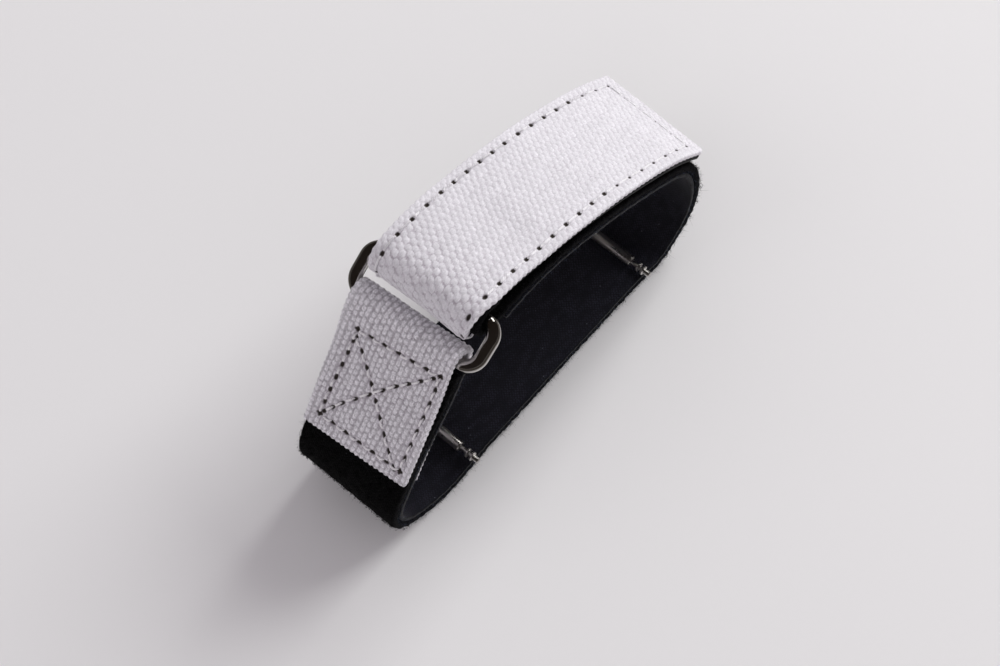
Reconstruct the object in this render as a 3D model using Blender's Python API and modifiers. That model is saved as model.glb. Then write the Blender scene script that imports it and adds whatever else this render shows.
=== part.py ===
"""Canvas touch-close watch strap, 20 mm wide, closed in its loop.

A two-ply band (looped outer tape, woven lining) starts in a canvas tab that is folded round one bar of a steel
ring. It runs round the loop, passes under the ring's other bar, folds back over it and lies down on itself as a
canvas tail with hook tape underneath. Two spring bars lie across the lining, where a watch head is carried.

Lengths are in metres. X runs along the loop, Y across the band, Z is up. The origin is the middle of the loop's
footprint, on the surface that it stands on. The ring is at the upper left, seen from -Y.
"""
import math

import bmesh
import bpy
import numpy as np
from mathutils import Vector

# Band: two plies that share one line, seen from the side
TAPE_WIDTH = 0.0200
PILE_THICKNESS = 0.0016
LINING_THICKNESS = 0.0008
PILE_ROUNDING = 0.00035
LINING_ROUNDING = 0.00015
BAND_STEP = 0.0020

# Loop: its length and rise are those of the line between the two plies
LOOP_LENGTH = 0.0714
LOOP_RISE = 0.0393
SEAT_LENGTH = 0.0180
SEAT_RISE = 0.0010
RUN_END_SLOPE = math.radians(185.0)

# The line's places from the ring down to the seat, as shares of the loop's length and rise
LEFT_SHARES = (
    (-0.335, 0.772),
    (-0.424, 0.568),
    (-0.498, 0.371),
    (-0.528, 0.239),
    (-0.507, 0.125),
    (-0.454, 0.049),
    (-0.366, 0.000),
    (-0.290, 0.015),
)
# The same from the seat, round the right-hand bend and back along the top to the ring
RIGHT_SHARES = (
    (0.290, 0.015),
    (0.348, 0.000),
    (0.405, 0.060),
    (0.448, 0.145),
    (0.471, 0.270),
    (0.472, 0.385),
    (0.444, 0.552),
    (0.324, 0.730),
    (0.203, 0.855),
    (0.084, 0.947),
    (-0.021, 0.997),
    (-0.105, 1.000),
    (-0.185, 0.982),
)

# Canvas: a little narrower than the tapes that it is sewn to
CANVAS_INSET = 0.0002
CANVAS_WIDTH = TAPE_WIDTH - 2 * CANVAS_INSET
CANVAS_THICKNESS = 0.0010
CANVAS_ROUNDING = 0.0003
SEWN_GAP = 0.0002
TAB_ANGLE = math.radians(229.0)
TAB_OUTER_LENGTH = 0.0236
TAB_INNER_LENGTH = 0.0246
TAB_END_GAP = 0.0006

# Ring: an oblong of round steel wire, with room for the tape between its ends
RING_WIRE = 0.0022
RING_SIDE_ROOM = 0.0006
RING_LENGTH = TAPE_WIDTH + 2 * (RING_SIDE_ROOM + RING_WIRE)
RING_PITCH = 0.0081
RING_CORNER = 0.0026
RING_TILT = math.radians(38.0)
RING_CLEARANCE = 0.0003
RING_PLAY = 0.0005

# Tail: the part that folds back over the ring and lies on the band
HOOK_THICKNESS = 0.0009
HOOK_ROUNDING = 0.00025
LAP_GAP = 0.0003
SETTLE_LENGTH = 0.0130
TAIL_LAP = 0.0455
TAIL_OVERHANG = 0.0060
HOOK_OVERHANG = 0.0004
PEEL_OFFSET = 0.0036
PLY_GAP = 0.0003
LINING_STOP = 0.0024

# Stitching: each seam has a needle thread on one face and a bobbin thread on the other
STITCH_PITCH = 0.0026
STITCH_INSET = 0.0020
THREAD_DIAMETER = 0.0004
THREAD_GAP = 0.0001
THREAD_RISE = 0.0001
THREAD_REACH = THREAD_GAP + THREAD_RISE + THREAD_DIAMETER
BOX_START = 0.0030
CROSS_INSET = 0.0012
CROSSING_RISE = THREAD_DIAMETER + THREAD_GAP
CROSSING_REACH = 0.0012

# Spring bars: the lugs that hold them stand as far apart as the strap is wide
LUG_SPACING = 0.0420
LUG_WIDTH = TAPE_WIDTH
BAR_DIAMETER = 0.0018
BAR_SEAT_GAP = 0.0003
TUBE_BORE = 0.0013
TUBE_LIP = 0.0004
TUBE_ROUNDING = 0.0002
PIN_TRAVEL = 0.0010
PIN_STOP_GAP = 0.0003
PIN_STEM = 0.0008
PIN_HEAD_LENGTH = 0.0011
PIN_FLANGE_DIAMETER = 0.0016
PIN_FLANGE_LENGTH = 0.0004
PIN_NECK_LENGTH = 0.0005
PIN_TIP_DIAMETER = 0.0009
PIN_TIP_LENGTH = 0.0012
PIN_CHAMFER = 0.0001
RUNNING_GAP = 0.0001
SPRING_WIRE = 0.0002
SPRING_TURNS = 12
SPRING_SEAT_GAP = 0.0003

WELD = 0.000001


def remove_scene_objects():
    """Empty the scene, so that the script gives the same part each time."""
    for item in list(bpy.data.objects):
        bpy.data.objects.remove(item, do_unlink=True)


def make_material(name, color, roughness, metallic):
    """Return a Principled material with a base colour, roughness and metallic value."""
    material = bpy.data.materials.new(name)
    material.use_nodes = True
    shader = material.node_tree.nodes["Principled BSDF"]
    shader.inputs["Base Color"].default_value = (*color, 1.0)
    shader.inputs["Roughness"].default_value = roughness
    shader.inputs["Metallic"].default_value = metallic
    material.diffuse_color = (*color, 1.0)
    return material


def clamped_spline(points, first, last, step):
    """Return a smooth line through points (x, z), with unit directions first and last at its ends."""
    knots = np.array(points, dtype=float)
    chords = np.linalg.norm(np.diff(knots, axis=0), axis=1)
    count = len(knots)
    system = np.zeros((count, count))
    right = np.zeros((count, 2))
    system[0, 0] = system[-1, -1] = 1.0
    right[0], right[-1] = first, last
    for i in range(1, count - 1):
        before, after = chords[i - 1], chords[i]
        system[i, i - 1 : i + 2] = (after, 2.0 * (before + after), before)
        slope_before = (knots[i] - knots[i - 1]) / before
        slope_after = (knots[i + 1] - knots[i]) / after
        right[i] = 3.0 * (after * slope_before + before * slope_after)
    slopes = np.linalg.solve(system, right)
    line = []
    for i, chord in enumerate(chords):
        pieces = max(1, round(chord / step))
        for t in np.arange(pieces) / pieces:
            keep = (2 * t**3 - 3 * t**2 + 1) * knots[i] + (3 * t**2 - 2 * t**3) * knots[i + 1]
            bend = (t**3 - 2 * t**2 + t) * slopes[i] + (t**3 - t**2) * slopes[i + 1]
            line.append(keep + bend * chord)
    line.append(knots[-1])
    return [Vector(p) for p in line]


def heading(angle):
    """Return the unit direction (x, z) at an angle above +X."""
    return Vector((math.cos(angle), math.sin(angle)))


def outward(direction):
    """Return the unit vector to the right of a direction, which is the outer side of the loop."""
    return Vector((direction.y, -direction.x))


class BandLine:
    """A line of points (x, z) with a distance along it, from which every ply is offset."""

    def __init__(self, points):
        self.points = points
        self.along = [0.0]
        for a, b in zip(points, points[1:]):
            self.along.append(self.along[-1] + (b - a).length)
        self.length = self.along[-1]

    def direction_at(self, index):
        """Return the direction at a point, the mean of the stretches before and after it."""
        a = self.points[max(index - 1, 0)]
        b = self.points[min(index + 1, len(self.points) - 1)]
        return (b - a).normalized()

    def at(self, distance):
        """Return the point and the direction at a distance along the line."""
        last = len(self.points) - 2
        index = min(max(int(np.searchsorted(self.along, distance)) - 1, 0), last)
        share = (distance - self.along[index]) / (self.along[index + 1] - self.along[index])
        point = self.points[index].lerp(self.points[index + 1], share)
        direction = self.direction_at(index).lerp(self.direction_at(index + 1), share)
        return point, direction.normalized()

    def beside(self, distance, side):
        """Return the point at a distance along the line, moved outward by side."""
        point, direction = self.at(distance)
        return point + outward(direction) * side

    def stretch(self, start, end, side):
        """Return the points from start to end, moved outward by side."""
        inner = [d for d in self.along if start + WELD < d < end - WELD]
        return [self.beside(d, side) for d in (start, *inner, end)]


# The fold's line runs round the ring's upper bar, outside the looped tape
FOLD_RADIUS = RING_WIRE / 2 + RING_PLAY + PILE_THICKNESS
FOLD_STEPS = 18
LINING_FACE = SEWN_GAP + LINING_THICKNESS
TAPE_MIDDLE = (PILE_THICKNESS - LINING_FACE) / 2
TAB_RADIUS = max(RING_WIRE / 2 + RING_CLEARANCE, (PILE_THICKNESS + LINING_FACE) / 2 + SEWN_GAP)
LAP_DISTANCE = PILE_THICKNESS + LAP_GAP + THREAD_REACH + HOOK_THICKNESS


def in_loop(shares):
    """Return a place (x, z) that is given as shares of the loop's length and rise."""
    return Vector((shares[0] * LOOP_LENGTH, shares[1] * LOOP_RISE))


def ring_bars():
    """Return the middles of the ring's upper and lower bars: the band's end sets the first."""
    upper = in_loop(RIGHT_SHARES[-1]) + outward(heading(RUN_END_SLOPE)) * FOLD_RADIUS
    return upper, upper - heading(RING_TILT) * RING_PITCH


def loop_points():
    """Return the band's line from the ring's lower bar, round the loop, to its upper bar."""
    _, lower = ring_bars()
    start = lower - outward(heading(TAB_ANGLE)) * TAPE_MIDDLE
    left = [start, *map(in_loop, LEFT_SHARES), Vector((-SEAT_LENGTH / 2, SEAT_RISE))]
    right = [Vector((SEAT_LENGTH / 2, SEAT_RISE)), *map(in_loop, RIGHT_SHARES)]
    level = Vector((1.0, 0.0))
    left_line = clamped_spline(left, heading(TAB_ANGLE), level, BAND_STEP)
    right_line = clamped_spline(right, level, heading(RUN_END_SLOPE), BAND_STEP)
    return left_line + right_line


def fold_points(centre):
    """Return the half circle that the band makes round the ring's upper bar, without its two ends."""
    first = RUN_END_SLOPE + math.pi / 2
    angles = [first - math.pi * i / FOLD_STEPS for i in range(1, FOLD_STEPS)]
    return [centre + heading(a) * FOLD_RADIUS for a in angles]


def tail_points(loop):
    """Return the tail's line: it settles onto the band, follows it, and ends in a straight stretch."""
    stations = [d for d in loop.along if loop.length - d < TAIL_LAP]
    points = []
    for distance in reversed(stations):
        back = min((loop.length - distance) / SETTLE_LENGTH, 1.0)
        ease = back * back * (3.0 - 2.0 * back)
        points.append(loop.beside(distance, 2 * FOLD_RADIUS + (LAP_DISTANCE - 2 * FOLD_RADIUS) * ease))
    onward = (points[-1] - points[-2]).normalized()
    return points + [points[-1] + onward * TAIL_OVERHANG * share for share in (0.5, 1.0)]


class Strap:
    """The strap's lines and key places, all worked out from the sizes above."""

    def __init__(self):
        loop = BandLine(loop_points())
        upper, lower = ring_bars()
        points = loop.points + fold_points(upper) + tail_points(loop)
        shift = self.origin_shift(points)
        self.line = BandLine([p + shift for p in points])
        self.upper = upper + shift
        self.lower = lower + shift
        self.loop_end = loop.length
        self.fold_end = self.line.along[len(loop.points) - 1 + FOLD_STEPS]
        self.peel = self.fold_end + PEEL_OFFSET

    @staticmethod
    def origin_shift(points):
        """Return the move that puts the origin under the middle of the footprint, on the ground."""
        line = BandLine(points)
        outer = line.stretch(0.0, line.length, PILE_THICKNESS)
        canvas = line.stretch(line.length - TAIL_OVERHANG, line.length, -SEWN_GAP - CANVAS_THICKNESS)
        hook = line.beside(line.length + HOOK_OVERHANG, 0.0)
        low = min(p.x for p in outer)
        high = max(p.x for p in (*canvas, hook))
        return Vector((-(low + high) / 2, -min(p.y for p in outer)))

    def bar_centre(self, side):
        """Return where a spring bar lies: on the lining, half the lug spacing to one side (-1 or 1)."""
        offset = -(LINING_FACE + BAR_SEAT_GAP + BAR_DIAMETER / 2)
        middle = self.seat_middle()
        goal = self.line.at(middle)[0].x + side * LUG_SPACING / 2
        near, far = middle, middle + side * LUG_SPACING
        for _ in range(60):
            guess = (near + far) / 2
            if (self.line.beside(guess, offset).x - goal) * side < 0:
                near = guess
            else:
                far = guess
        return self.line.beside(guess, offset)

    def seat_middle(self):
        """Return the distance along the line to the middle of the flat seat."""
        lengths = [b - a for a, b in zip(self.line.along, self.line.along[1:])]
        longest = max(range(len(lengths)), key=lambda i: lengths[i])
        return (self.line.along[longest] + self.line.along[longest + 1]) / 2


def in_space(point, y=0.0):
    """Return a side-view point (x, z) as a point in space."""
    return Vector((point.x, y, point.y))


def add_object(name, data, collection, material, origin):
    """Link a new object at its origin and give it its material."""
    item = bpy.data.objects.new(name, data)
    item.location = origin
    data.materials.append(material)
    collection.objects.link(item)
    return item


def add_bevel(item, width, segments=1):
    """Round the sharp edges of an object."""
    bevel = item.modifiers.new("edge rounding", "BEVEL")
    bevel.width = width
    bevel.segments = segments
    bevel.limit_method = "ANGLE"
    bevel.angle_limit = math.radians(60.0)
    return bevel


def add_ply(name, points, width, thickness, rounding, collection, material, origin=None):
    """Make a flexible ply: an open strip through side-view points, thickened about its middle."""
    origin = origin or Vector((0.0, 0.0, 0.0))
    mesh = bmesh.new()
    chain = [mesh.verts.new(in_space(p, -width / 2) - origin) for p in points]
    edges = [mesh.edges.new(pair) for pair in zip(chain, chain[1:])]
    across = bmesh.ops.extrude_edge_only(mesh, edges=edges)
    moved = [v for v in across["geom"] if isinstance(v, bmesh.types.BMVert)]
    bmesh.ops.translate(mesh, verts=moved, vec=(0.0, width, 0.0))
    data = bpy.data.meshes.new(name)
    mesh.to_mesh(data)
    mesh.free()
    item = add_object(name, data, collection, material, origin)
    solid = item.modifiers.new("ply thickness", "SOLIDIFY")
    solid.thickness = thickness
    solid.offset = 0.0
    solid.use_even_offset = True
    add_bevel(item, rounding)
    return item


def add_turned(name, profile, closed, steps, collection, material, origin):
    """Turn a profile of (radius, height) round an axis that lies along Y; heights run towards -Y."""
    mesh = bmesh.new()
    chain = [mesh.verts.new((radius, 0.0, height)) for radius, height in profile]
    ends = chain[1:] + chain[:1] if closed else chain[1:]
    for pair in zip(chain, ends):
        mesh.edges.new(pair)
    data = bpy.data.meshes.new(name)
    mesh.to_mesh(data)
    mesh.free()
    item = add_object(name, data, collection, material, origin)
    item.rotation_euler = (math.pi / 2, 0.0, 0.0)
    screw = item.modifiers.new("turning", "SCREW")
    screw.axis = "Z"
    screw.angle = 2 * math.pi
    screw.steps = steps
    screw.render_steps = steps
    screw.use_merge_vertices = True
    screw.merge_threshold = WELD
    screw.use_smooth_shade = True
    screw.use_normal_calculate = False
    return item


def add_wire(name, points, closed, diameter, resolution, collection, material, origin):
    """Make a round wire along points in space, with filled ends where it is open."""
    data = bpy.data.curves.new(name, "CURVE")
    data.dimensions = "3D"
    data.bevel_depth = diameter / 2
    data.bevel_resolution = resolution
    data.use_fill_caps = not closed
    spline = data.splines.new("POLY")
    spline.points.add(len(points) - 1)
    for slot, point in zip(spline.points, points):
        slot.co = (*point, 1.0)
    spline.use_cyclic_u = closed
    spline.use_smooth = True
    return add_object(name, data, collection, material, origin)


def make_band(strap, collection, materials):
    """Make the looped outer tape, which also lines the fold, and the woven lining inside the loop."""
    line = strap.line
    start = RING_WIRE / 2 + RING_CLEARANCE + TAB_END_GAP
    pile = line.stretch(start, strap.peel - PLY_GAP / 2, PILE_THICKNESS / 2)
    add_ply("pile_tape", pile, TAPE_WIDTH, PILE_THICKNESS, PILE_ROUNDING, collection, materials["pile"])
    lining = line.stretch(start, strap.loop_end - LINING_STOP, LINING_THICKNESS / 2 - LINING_FACE)
    add_ply("lining_tape", lining, TAPE_WIDTH, LINING_THICKNESS, LINING_ROUNDING, collection, materials["lining"])


def tab_points(strap):
    """Return the canvas tab's middle line: outer leaf, half circle round the lower bar, inner leaf."""
    reach = TAB_RADIUS + CANVAS_THICKNESS / 2
    outer = strap.line.stretch(0.0, TAB_OUTER_LENGTH, TAPE_MIDDLE + reach)
    inner = strap.line.stretch(0.0, TAB_INNER_LENGTH, TAPE_MIDDLE - reach)
    first = TAB_ANGLE - math.pi / 2
    turns = [first - math.pi * i / FOLD_STEPS for i in range(1, FOLD_STEPS)]
    return outer[::-1] + [strap.lower + heading(turn) * reach for turn in turns] + inner


def make_tab(strap, collection, materials):
    """Make the canvas tab that holds the ring to the start of the band."""
    add_ply("tab_canvas", tab_points(strap), CANVAS_WIDTH, CANVAS_THICKNESS, CANVAS_ROUNDING, collection,
            materials["canvas"])


def make_fold(strap, collection, materials):
    """Make the canvas that wraps the fold round the ring's upper bar, up to the line where the tail lifts."""
    middle = -(SEWN_GAP + CANVAS_THICKNESS / 2)
    start = strap.loop_end - LINING_STOP + PLY_GAP
    points = strap.line.stretch(start, strap.peel - PLY_GAP / 2, middle)
    add_ply("fold_canvas", points, CANVAS_WIDTH, CANVAS_THICKNESS, CANVAS_ROUNDING, collection,
            materials["canvas"])


def peel_axis(strap):
    """Return the line that the tail lifts about, on the canvas's upper face."""
    return in_space(strap.line.beside(strap.peel, -(SEWN_GAP + CANVAS_THICKNESS)))


def make_tail(strap, collection, materials):
    """Make the tail's canvas and the hook tape sewn under it."""
    line = strap.line
    origin = peel_axis(strap)
    start = strap.peel + PLY_GAP / 2
    middle = -(SEWN_GAP + CANVAS_THICKNESS / 2)
    canvas = line.stretch(start, line.length, middle)
    add_ply("tail_canvas", canvas, CANVAS_WIDTH, CANVAS_THICKNESS, CANVAS_ROUNDING, collection,
            materials["canvas"], origin)
    hook = line.stretch(start, line.length + HOOK_OVERHANG, HOOK_THICKNESS / 2)
    add_ply("tail_hook_tape", hook, TAPE_WIDTH, HOOK_THICKNESS, HOOK_ROUNDING, collection,
            materials["hook"], origin)


def make_ring(strap, collection, materials):
    """Make the oblong ring, with its origin on the lower bar, which it rocks about."""
    straight = RING_LENGTH / 2 - RING_WIRE / 2 - RING_CORNER
    centres = ((RING_PITCH - RING_CORNER, straight), (RING_CORNER, straight),
               (RING_CORNER, -straight), (RING_PITCH - RING_CORNER, -straight))
    steps = 7
    points = []
    for quarter, (x, y) in enumerate(centres):
        for i in range(steps + 1):
            angle = math.pi / 2 * (quarter + i / steps)
            points.append((x + RING_CORNER * math.cos(angle), y + RING_CORNER * math.sin(angle), 0.0))
    ring = add_wire("ring", points, True, RING_WIRE, 4, collection, materials["steel"], in_space(strap.lower))
    ring.rotation_euler = (0.0, -RING_TILT, 0.0)


def raised_rows(corners, closed):
    """Return a thread's points through corners of (distance, y), a stitch at a time, each with its rise."""
    ends = corners[1:] + corners[:1] if closed else corners[1:]
    rows = []
    for (d0, y0), (d1, y1) in zip(corners, ends):
        count = max(1, round(math.hypot(d1 - d0, y1 - y0) / STITCH_PITCH))
        for i in range(2 * count):
            share = i / (2 * count)
            rise = THREAD_RISE * (i % 2)
            rows.append((d0 + (d1 - d0) * share, y0 + (y1 - y0) * share, rise))
    return rows if closed else rows + [(*corners[-1], 0.0)]


def add_thread(name, line, face, rows, closed, collection, material, origin=None):
    """Make one unbroken sewing thread that lies on a face beside a line."""
    origin = origin or Vector((0.0, 0.0, 0.0))
    sign = math.copysign(1.0, face)
    clear = THREAD_DIAMETER / 2 + THREAD_GAP
    points = [in_space(line.beside(d, face + sign * (clear + rise)), y) - origin for d, y, rise in rows]
    return add_wire(name, points, closed, THREAD_DIAMETER, 1, collection, material, origin)


def sew_tab(line, thread, collection):
    """Sew the box and the cross through both leaves of the tab, one diagonal over the other."""
    half = CANVAS_WIDTH / 2 - STITCH_INSET
    start, end = BOX_START, TAB_OUTER_LENGTH - STITCH_INSET
    box = [(start, -half), (end, -half), (end, half), (start, half)]
    first, last, side = start + CROSS_INSET, end - CROSS_INSET, half - CROSS_INSET
    under = raised_rows([(first, side), (last, -side)], False)
    over = [(d, y, rise + (CROSSING_RISE if abs(y) < CROSSING_REACH else 0.0))
            for d, y, rise in raised_rows([(first, -side), (last, side)], False)]
    reach = TAB_RADIUS + CANVAS_THICKNESS
    for kind, face in (("thread", TAPE_MIDDLE + reach), ("bobbin", TAPE_MIDDLE - reach)):
        add_thread(f"tab_box_{kind}", line, face, raised_rows(box, True), True, collection, thread)
        add_thread(f"tab_cross_{kind}_under", line, face, under, False, collection, thread)
        add_thread(f"tab_cross_{kind}_over", line, face, over, False, collection, thread)


def sew_tail(strap, thread, collection):
    """Sew the row round three sides of the tail, and its two ends on the canvas that wraps the ring's bar."""
    line, origin = strap.line, peel_axis(strap)
    half = CANVAS_WIDTH / 2 - STITCH_INSET
    canvas_face = -(SEWN_GAP + CANVAS_THICKNESS)
    first, last = strap.peel + STITCH_PITCH / 2, line.length - STITCH_INSET
    row = raised_rows([(first, -half), (last, -half), (last, half), (first, half)], False)
    add_thread("tail_thread", line, canvas_face, row, False, collection, thread, origin)
    add_thread("tail_bobbin", line, HOOK_THICKNESS, row, False, collection, thread, origin)
    start = strap.loop_end - LINING_STOP + PLY_GAP + STITCH_INSET / 2
    for side, y in (("near", -half), ("far", half)):
        row = raised_rows([(start, y), (strap.fold_end, y)], False)
        add_thread(f"fold_thread_{side}", line, canvas_face, row, False, collection, thread)


def tube_half_length():
    """Return half the length of a spring bar's tube, from what the pins need between the lugs."""
    pin = 2 * PIN_FLANGE_LENGTH + PIN_NECK_LENGTH + PIN_TRAVEL + PIN_STOP_GAP
    return LUG_WIDTH / 2 - pin


def tube_profile(half):
    """Return the tube's closed profile: a bore that the rolled-in lips narrow at both ends."""
    outer, bore = BAR_DIAMETER / 2, TUBE_BORE / 2
    lip = PIN_STEM / 2 + RUNNING_GAP
    return [(lip, half), (outer - TUBE_ROUNDING, half), (outer, half - TUBE_ROUNDING), (outer, TUBE_ROUNDING - half),
            (outer - TUBE_ROUNDING, -half), (lip, -half), (lip, TUBE_LIP - half), (bore, TUBE_LIP - half),
            (bore, half - TUBE_LIP), (lip, half - TUBE_LIP)]


def pin_head_end(half):
    """Return how far from the bar's middle a pin's head ends, inside the tube."""
    return half - TUBE_LIP - RUNNING_GAP - PIN_HEAD_LENGTH


def pin_profile(half):
    """Return a pin's profile from its tip to its head, as heights from the bar's middle."""
    stem, flange, tip = PIN_STEM / 2, PIN_FLANGE_DIAMETER / 2, PIN_TIP_DIAMETER / 2
    head = TUBE_BORE / 2 - RUNNING_GAP
    shoulder = LUG_WIDTH / 2
    end = shoulder + PIN_TIP_LENGTH
    neck_out = shoulder - PIN_FLANGE_LENGTH
    neck_in = neck_out - PIN_NECK_LENGTH
    inner = neck_in - PIN_FLANGE_LENGTH
    head_out = half - TUBE_LIP - RUNNING_GAP
    head_in = pin_head_end(half)
    return [(0.0, end), (tip - PIN_CHAMFER, end), (tip, end - PIN_CHAMFER), (tip, shoulder),
            (flange - PIN_CHAMFER, shoulder), (flange, shoulder - PIN_CHAMFER), (flange, neck_out),
            (stem, neck_out), (stem, neck_in), (flange, neck_in), (flange, inner), (stem, inner),
            (stem, head_out), (head, head_out), (head, head_in), (0.0, head_in)]


def spring_points(half):
    """Return the coil's points along Y, and print its least gap to itself."""
    reach = pin_head_end(half) - SPRING_SEAT_GAP - SPRING_WIRE / 2
    radius = TUBE_BORE / 2 - RUNNING_GAP - SPRING_WIRE / 2
    per_turn = 8
    count = SPRING_TURNS * per_turn
    points = []
    for i in range(count + 1):
        turn = 2 * math.pi * i / per_turn
        points.append(Vector((radius * math.cos(turn), -reach + 2 * reach * i / count, radius * math.sin(turn))))
    gap = min((points[i + per_turn] - points[i]).length for i in range(count - per_turn)) - SPRING_WIRE
    print(f"spring: least gap between turns {gap * 1000:.2f} mm")
    return points


def make_spring_bar(strap, side, letter, collection, materials):
    """Make one spring bar: a tube, two shouldered pins that slide in it, and the spring between them."""
    centre = in_space(strap.bar_centre(side))
    half = tube_half_length()
    add_turned(f"bar_{letter}_tube", tube_profile(half), True, 24, collection, materials["steel"], centre)
    near = add_turned(f"bar_{letter}_pin_near", pin_profile(half), False, 16, collection, materials["steel"], centre)
    far = add_turned(f"bar_{letter}_pin_far", pin_profile(half), False, 16, collection, materials["steel"], centre)
    far.rotation_euler = (near.rotation_euler.x, 0.0, math.pi)
    add_wire(f"bar_{letter}_spring", spring_points(half), False, SPRING_WIRE, 1, collection, materials["steel"],
             centre)


def build():
    """Build the strap in its own collection."""
    remove_scene_objects()
    collection = bpy.data.collections.new("canvas_watch_strap")
    bpy.context.scene.collection.children.link(collection)
    materials = {
        "pile": make_material("pile", (0.006, 0.006, 0.007), 0.95, 0.0),
        "lining": make_material("lining", (0.012, 0.013, 0.020), 0.85, 0.0),
        "hook": make_material("hook", (0.008, 0.008, 0.009), 0.70, 0.0),
        "canvas": make_material("canvas", (0.74, 0.72, 0.76), 0.90, 0.0),
        "thread": make_material("thread", (0.70, 0.68, 0.72), 0.60, 0.0),
        "steel": make_material("steel", (0.62, 0.60, 0.57), 0.15, 1.0),
    }
    strap = Strap()
    make_band(strap, collection, materials)
    make_tab(strap, collection, materials)
    make_fold(strap, collection, materials)
    make_tail(strap, collection, materials)
    make_ring(strap, collection, materials)
    sew_tab(strap.line, materials["thread"], collection)
    sew_tail(strap, materials["thread"], collection)
    for side, letter in ((-1, "a"), (1, "b")):
        make_spring_bar(strap, side, letter, collection, materials)
    return strap


if __name__ == "__main__":
    build()
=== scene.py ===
"""Canvas touch-close watch strap, closed in its loop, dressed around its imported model.

A two-ply band starts in a canvas tab that is folded round one bar of a steel ring. It runs round the loop, passes
under the ring's other bar, folds back over it and lies down on itself as a canvas tail with hook tape underneath.

Lengths are in metres. X runs along the loop, Y across the band, Z is up. A place on a ply is given as along (how far
down the strap's line), across (Y) and out (how far outside that line), and is then wrapped onto the line.
"""
from __future__ import annotations

import logging
import math
from collections.abc import Callable
from dataclasses import dataclass, field, replace
from enum import Enum

import bmesh
import bpy
import numpy as np
from mathutils import Matrix, Vector


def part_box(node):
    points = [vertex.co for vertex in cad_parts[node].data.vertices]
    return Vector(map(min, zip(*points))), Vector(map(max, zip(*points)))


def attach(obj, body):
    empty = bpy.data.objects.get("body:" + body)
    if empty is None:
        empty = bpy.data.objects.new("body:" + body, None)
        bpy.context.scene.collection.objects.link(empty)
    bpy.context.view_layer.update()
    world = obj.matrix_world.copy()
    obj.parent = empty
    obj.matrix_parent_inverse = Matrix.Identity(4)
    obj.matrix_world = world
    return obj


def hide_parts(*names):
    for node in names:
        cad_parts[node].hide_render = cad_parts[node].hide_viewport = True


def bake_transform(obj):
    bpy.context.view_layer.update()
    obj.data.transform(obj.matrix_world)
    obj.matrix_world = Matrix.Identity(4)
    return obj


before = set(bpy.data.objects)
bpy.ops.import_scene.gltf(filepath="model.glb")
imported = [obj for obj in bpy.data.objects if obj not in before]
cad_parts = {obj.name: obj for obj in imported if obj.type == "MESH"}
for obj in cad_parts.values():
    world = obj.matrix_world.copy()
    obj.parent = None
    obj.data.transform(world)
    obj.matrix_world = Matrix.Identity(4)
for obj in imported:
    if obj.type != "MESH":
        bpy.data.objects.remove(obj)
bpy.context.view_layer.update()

log = logging.getLogger("strap")
MM = 0.001
WELD = 1e-7
FLOOR_GAP = 0.00001
HALF_WIDTH = 0.010
Socket = bpy.types.NodeSocket
Pair = tuple[float, float]
Triple = tuple[float, float, float]
Stops = tuple[Pair, ...]


class Bar(Enum):
    """The two spring bars, by the letter in their names."""

    LEFT = "a"
    RIGHT = "b"


class End(Enum):
    """The two ends of a bar: its value is the way along Y."""

    NEAR = -1
    FAR = 1


# ---------------------------------------------------------------- lines that the plies follow


def follow(stops: Stops, along: np.ndarray) -> np.ndarray:
    """Return values at distances along a line, from pairs of (along, value) in millimetres."""
    table = np.array(stops) * MM
    return np.interp(along, table[:, 0], table[:, 1])


@dataclass(frozen=True)
class Lean:
    """How the real strap departs from a square one: its ring sits askew and pulls its folds with it."""

    yaw: float = 0.049
    middle: Pair = (-0.0148, 0.0409)
    way: Pair = (0.788, 0.616)
    near: float = 0.0065
    far: float = 0.0170

    def move(self, points: np.ndarray) -> np.ndarray:
        """Return points in space, moved by at most about half a millimetre, as the sewn strap lies."""
        away = np.hypot(points[:, 0] - self.middle[0], points[:, 2] - self.middle[1])
        share = np.clip((self.far - away) / (self.far - self.near), 0.0, 1.0)
        shift = -self.yaw * points[:, 1] * share**2 * (3.0 - 2.0 * share)
        return points + np.column_stack([shift * self.way[0], np.zeros(len(points)), shift * self.way[1]])


LEAN = Lean()


@dataclass(frozen=True)
class Drift:
    """How far a sewn ply lies to one side along its line.

    Pinch is how far its near edge is drawn in, and droop how far its free end hangs, mostly at its near side.
    """

    sway: Stops = ((0.0, 0.0),)
    pinch: Stops = ((0.0, 0.0),)
    droop_start: float = 0.0
    droop_length: float = 0.0085
    droop: float = 0.0

    def move(self, flat: np.ndarray) -> np.ndarray:
        """Return flat places (along, across, out), moved sideways, and down where the ply droops."""
        along, near = flat[:, 0], -flat[:, 1] / HALF_WIDTH
        gone = np.clip((along - self.droop_start) / self.droop_length, 0.0, 2.0)
        moved = flat.copy()
        moved[:, 1] += follow(self.sway, along) + follow(self.pinch, along) * np.maximum(near, 0.0) ** 2
        moved[:, 2] += self.droop * np.clip(0.55 + 0.45 * near, 0.0, 1.0) * gone**2
        return moved


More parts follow.
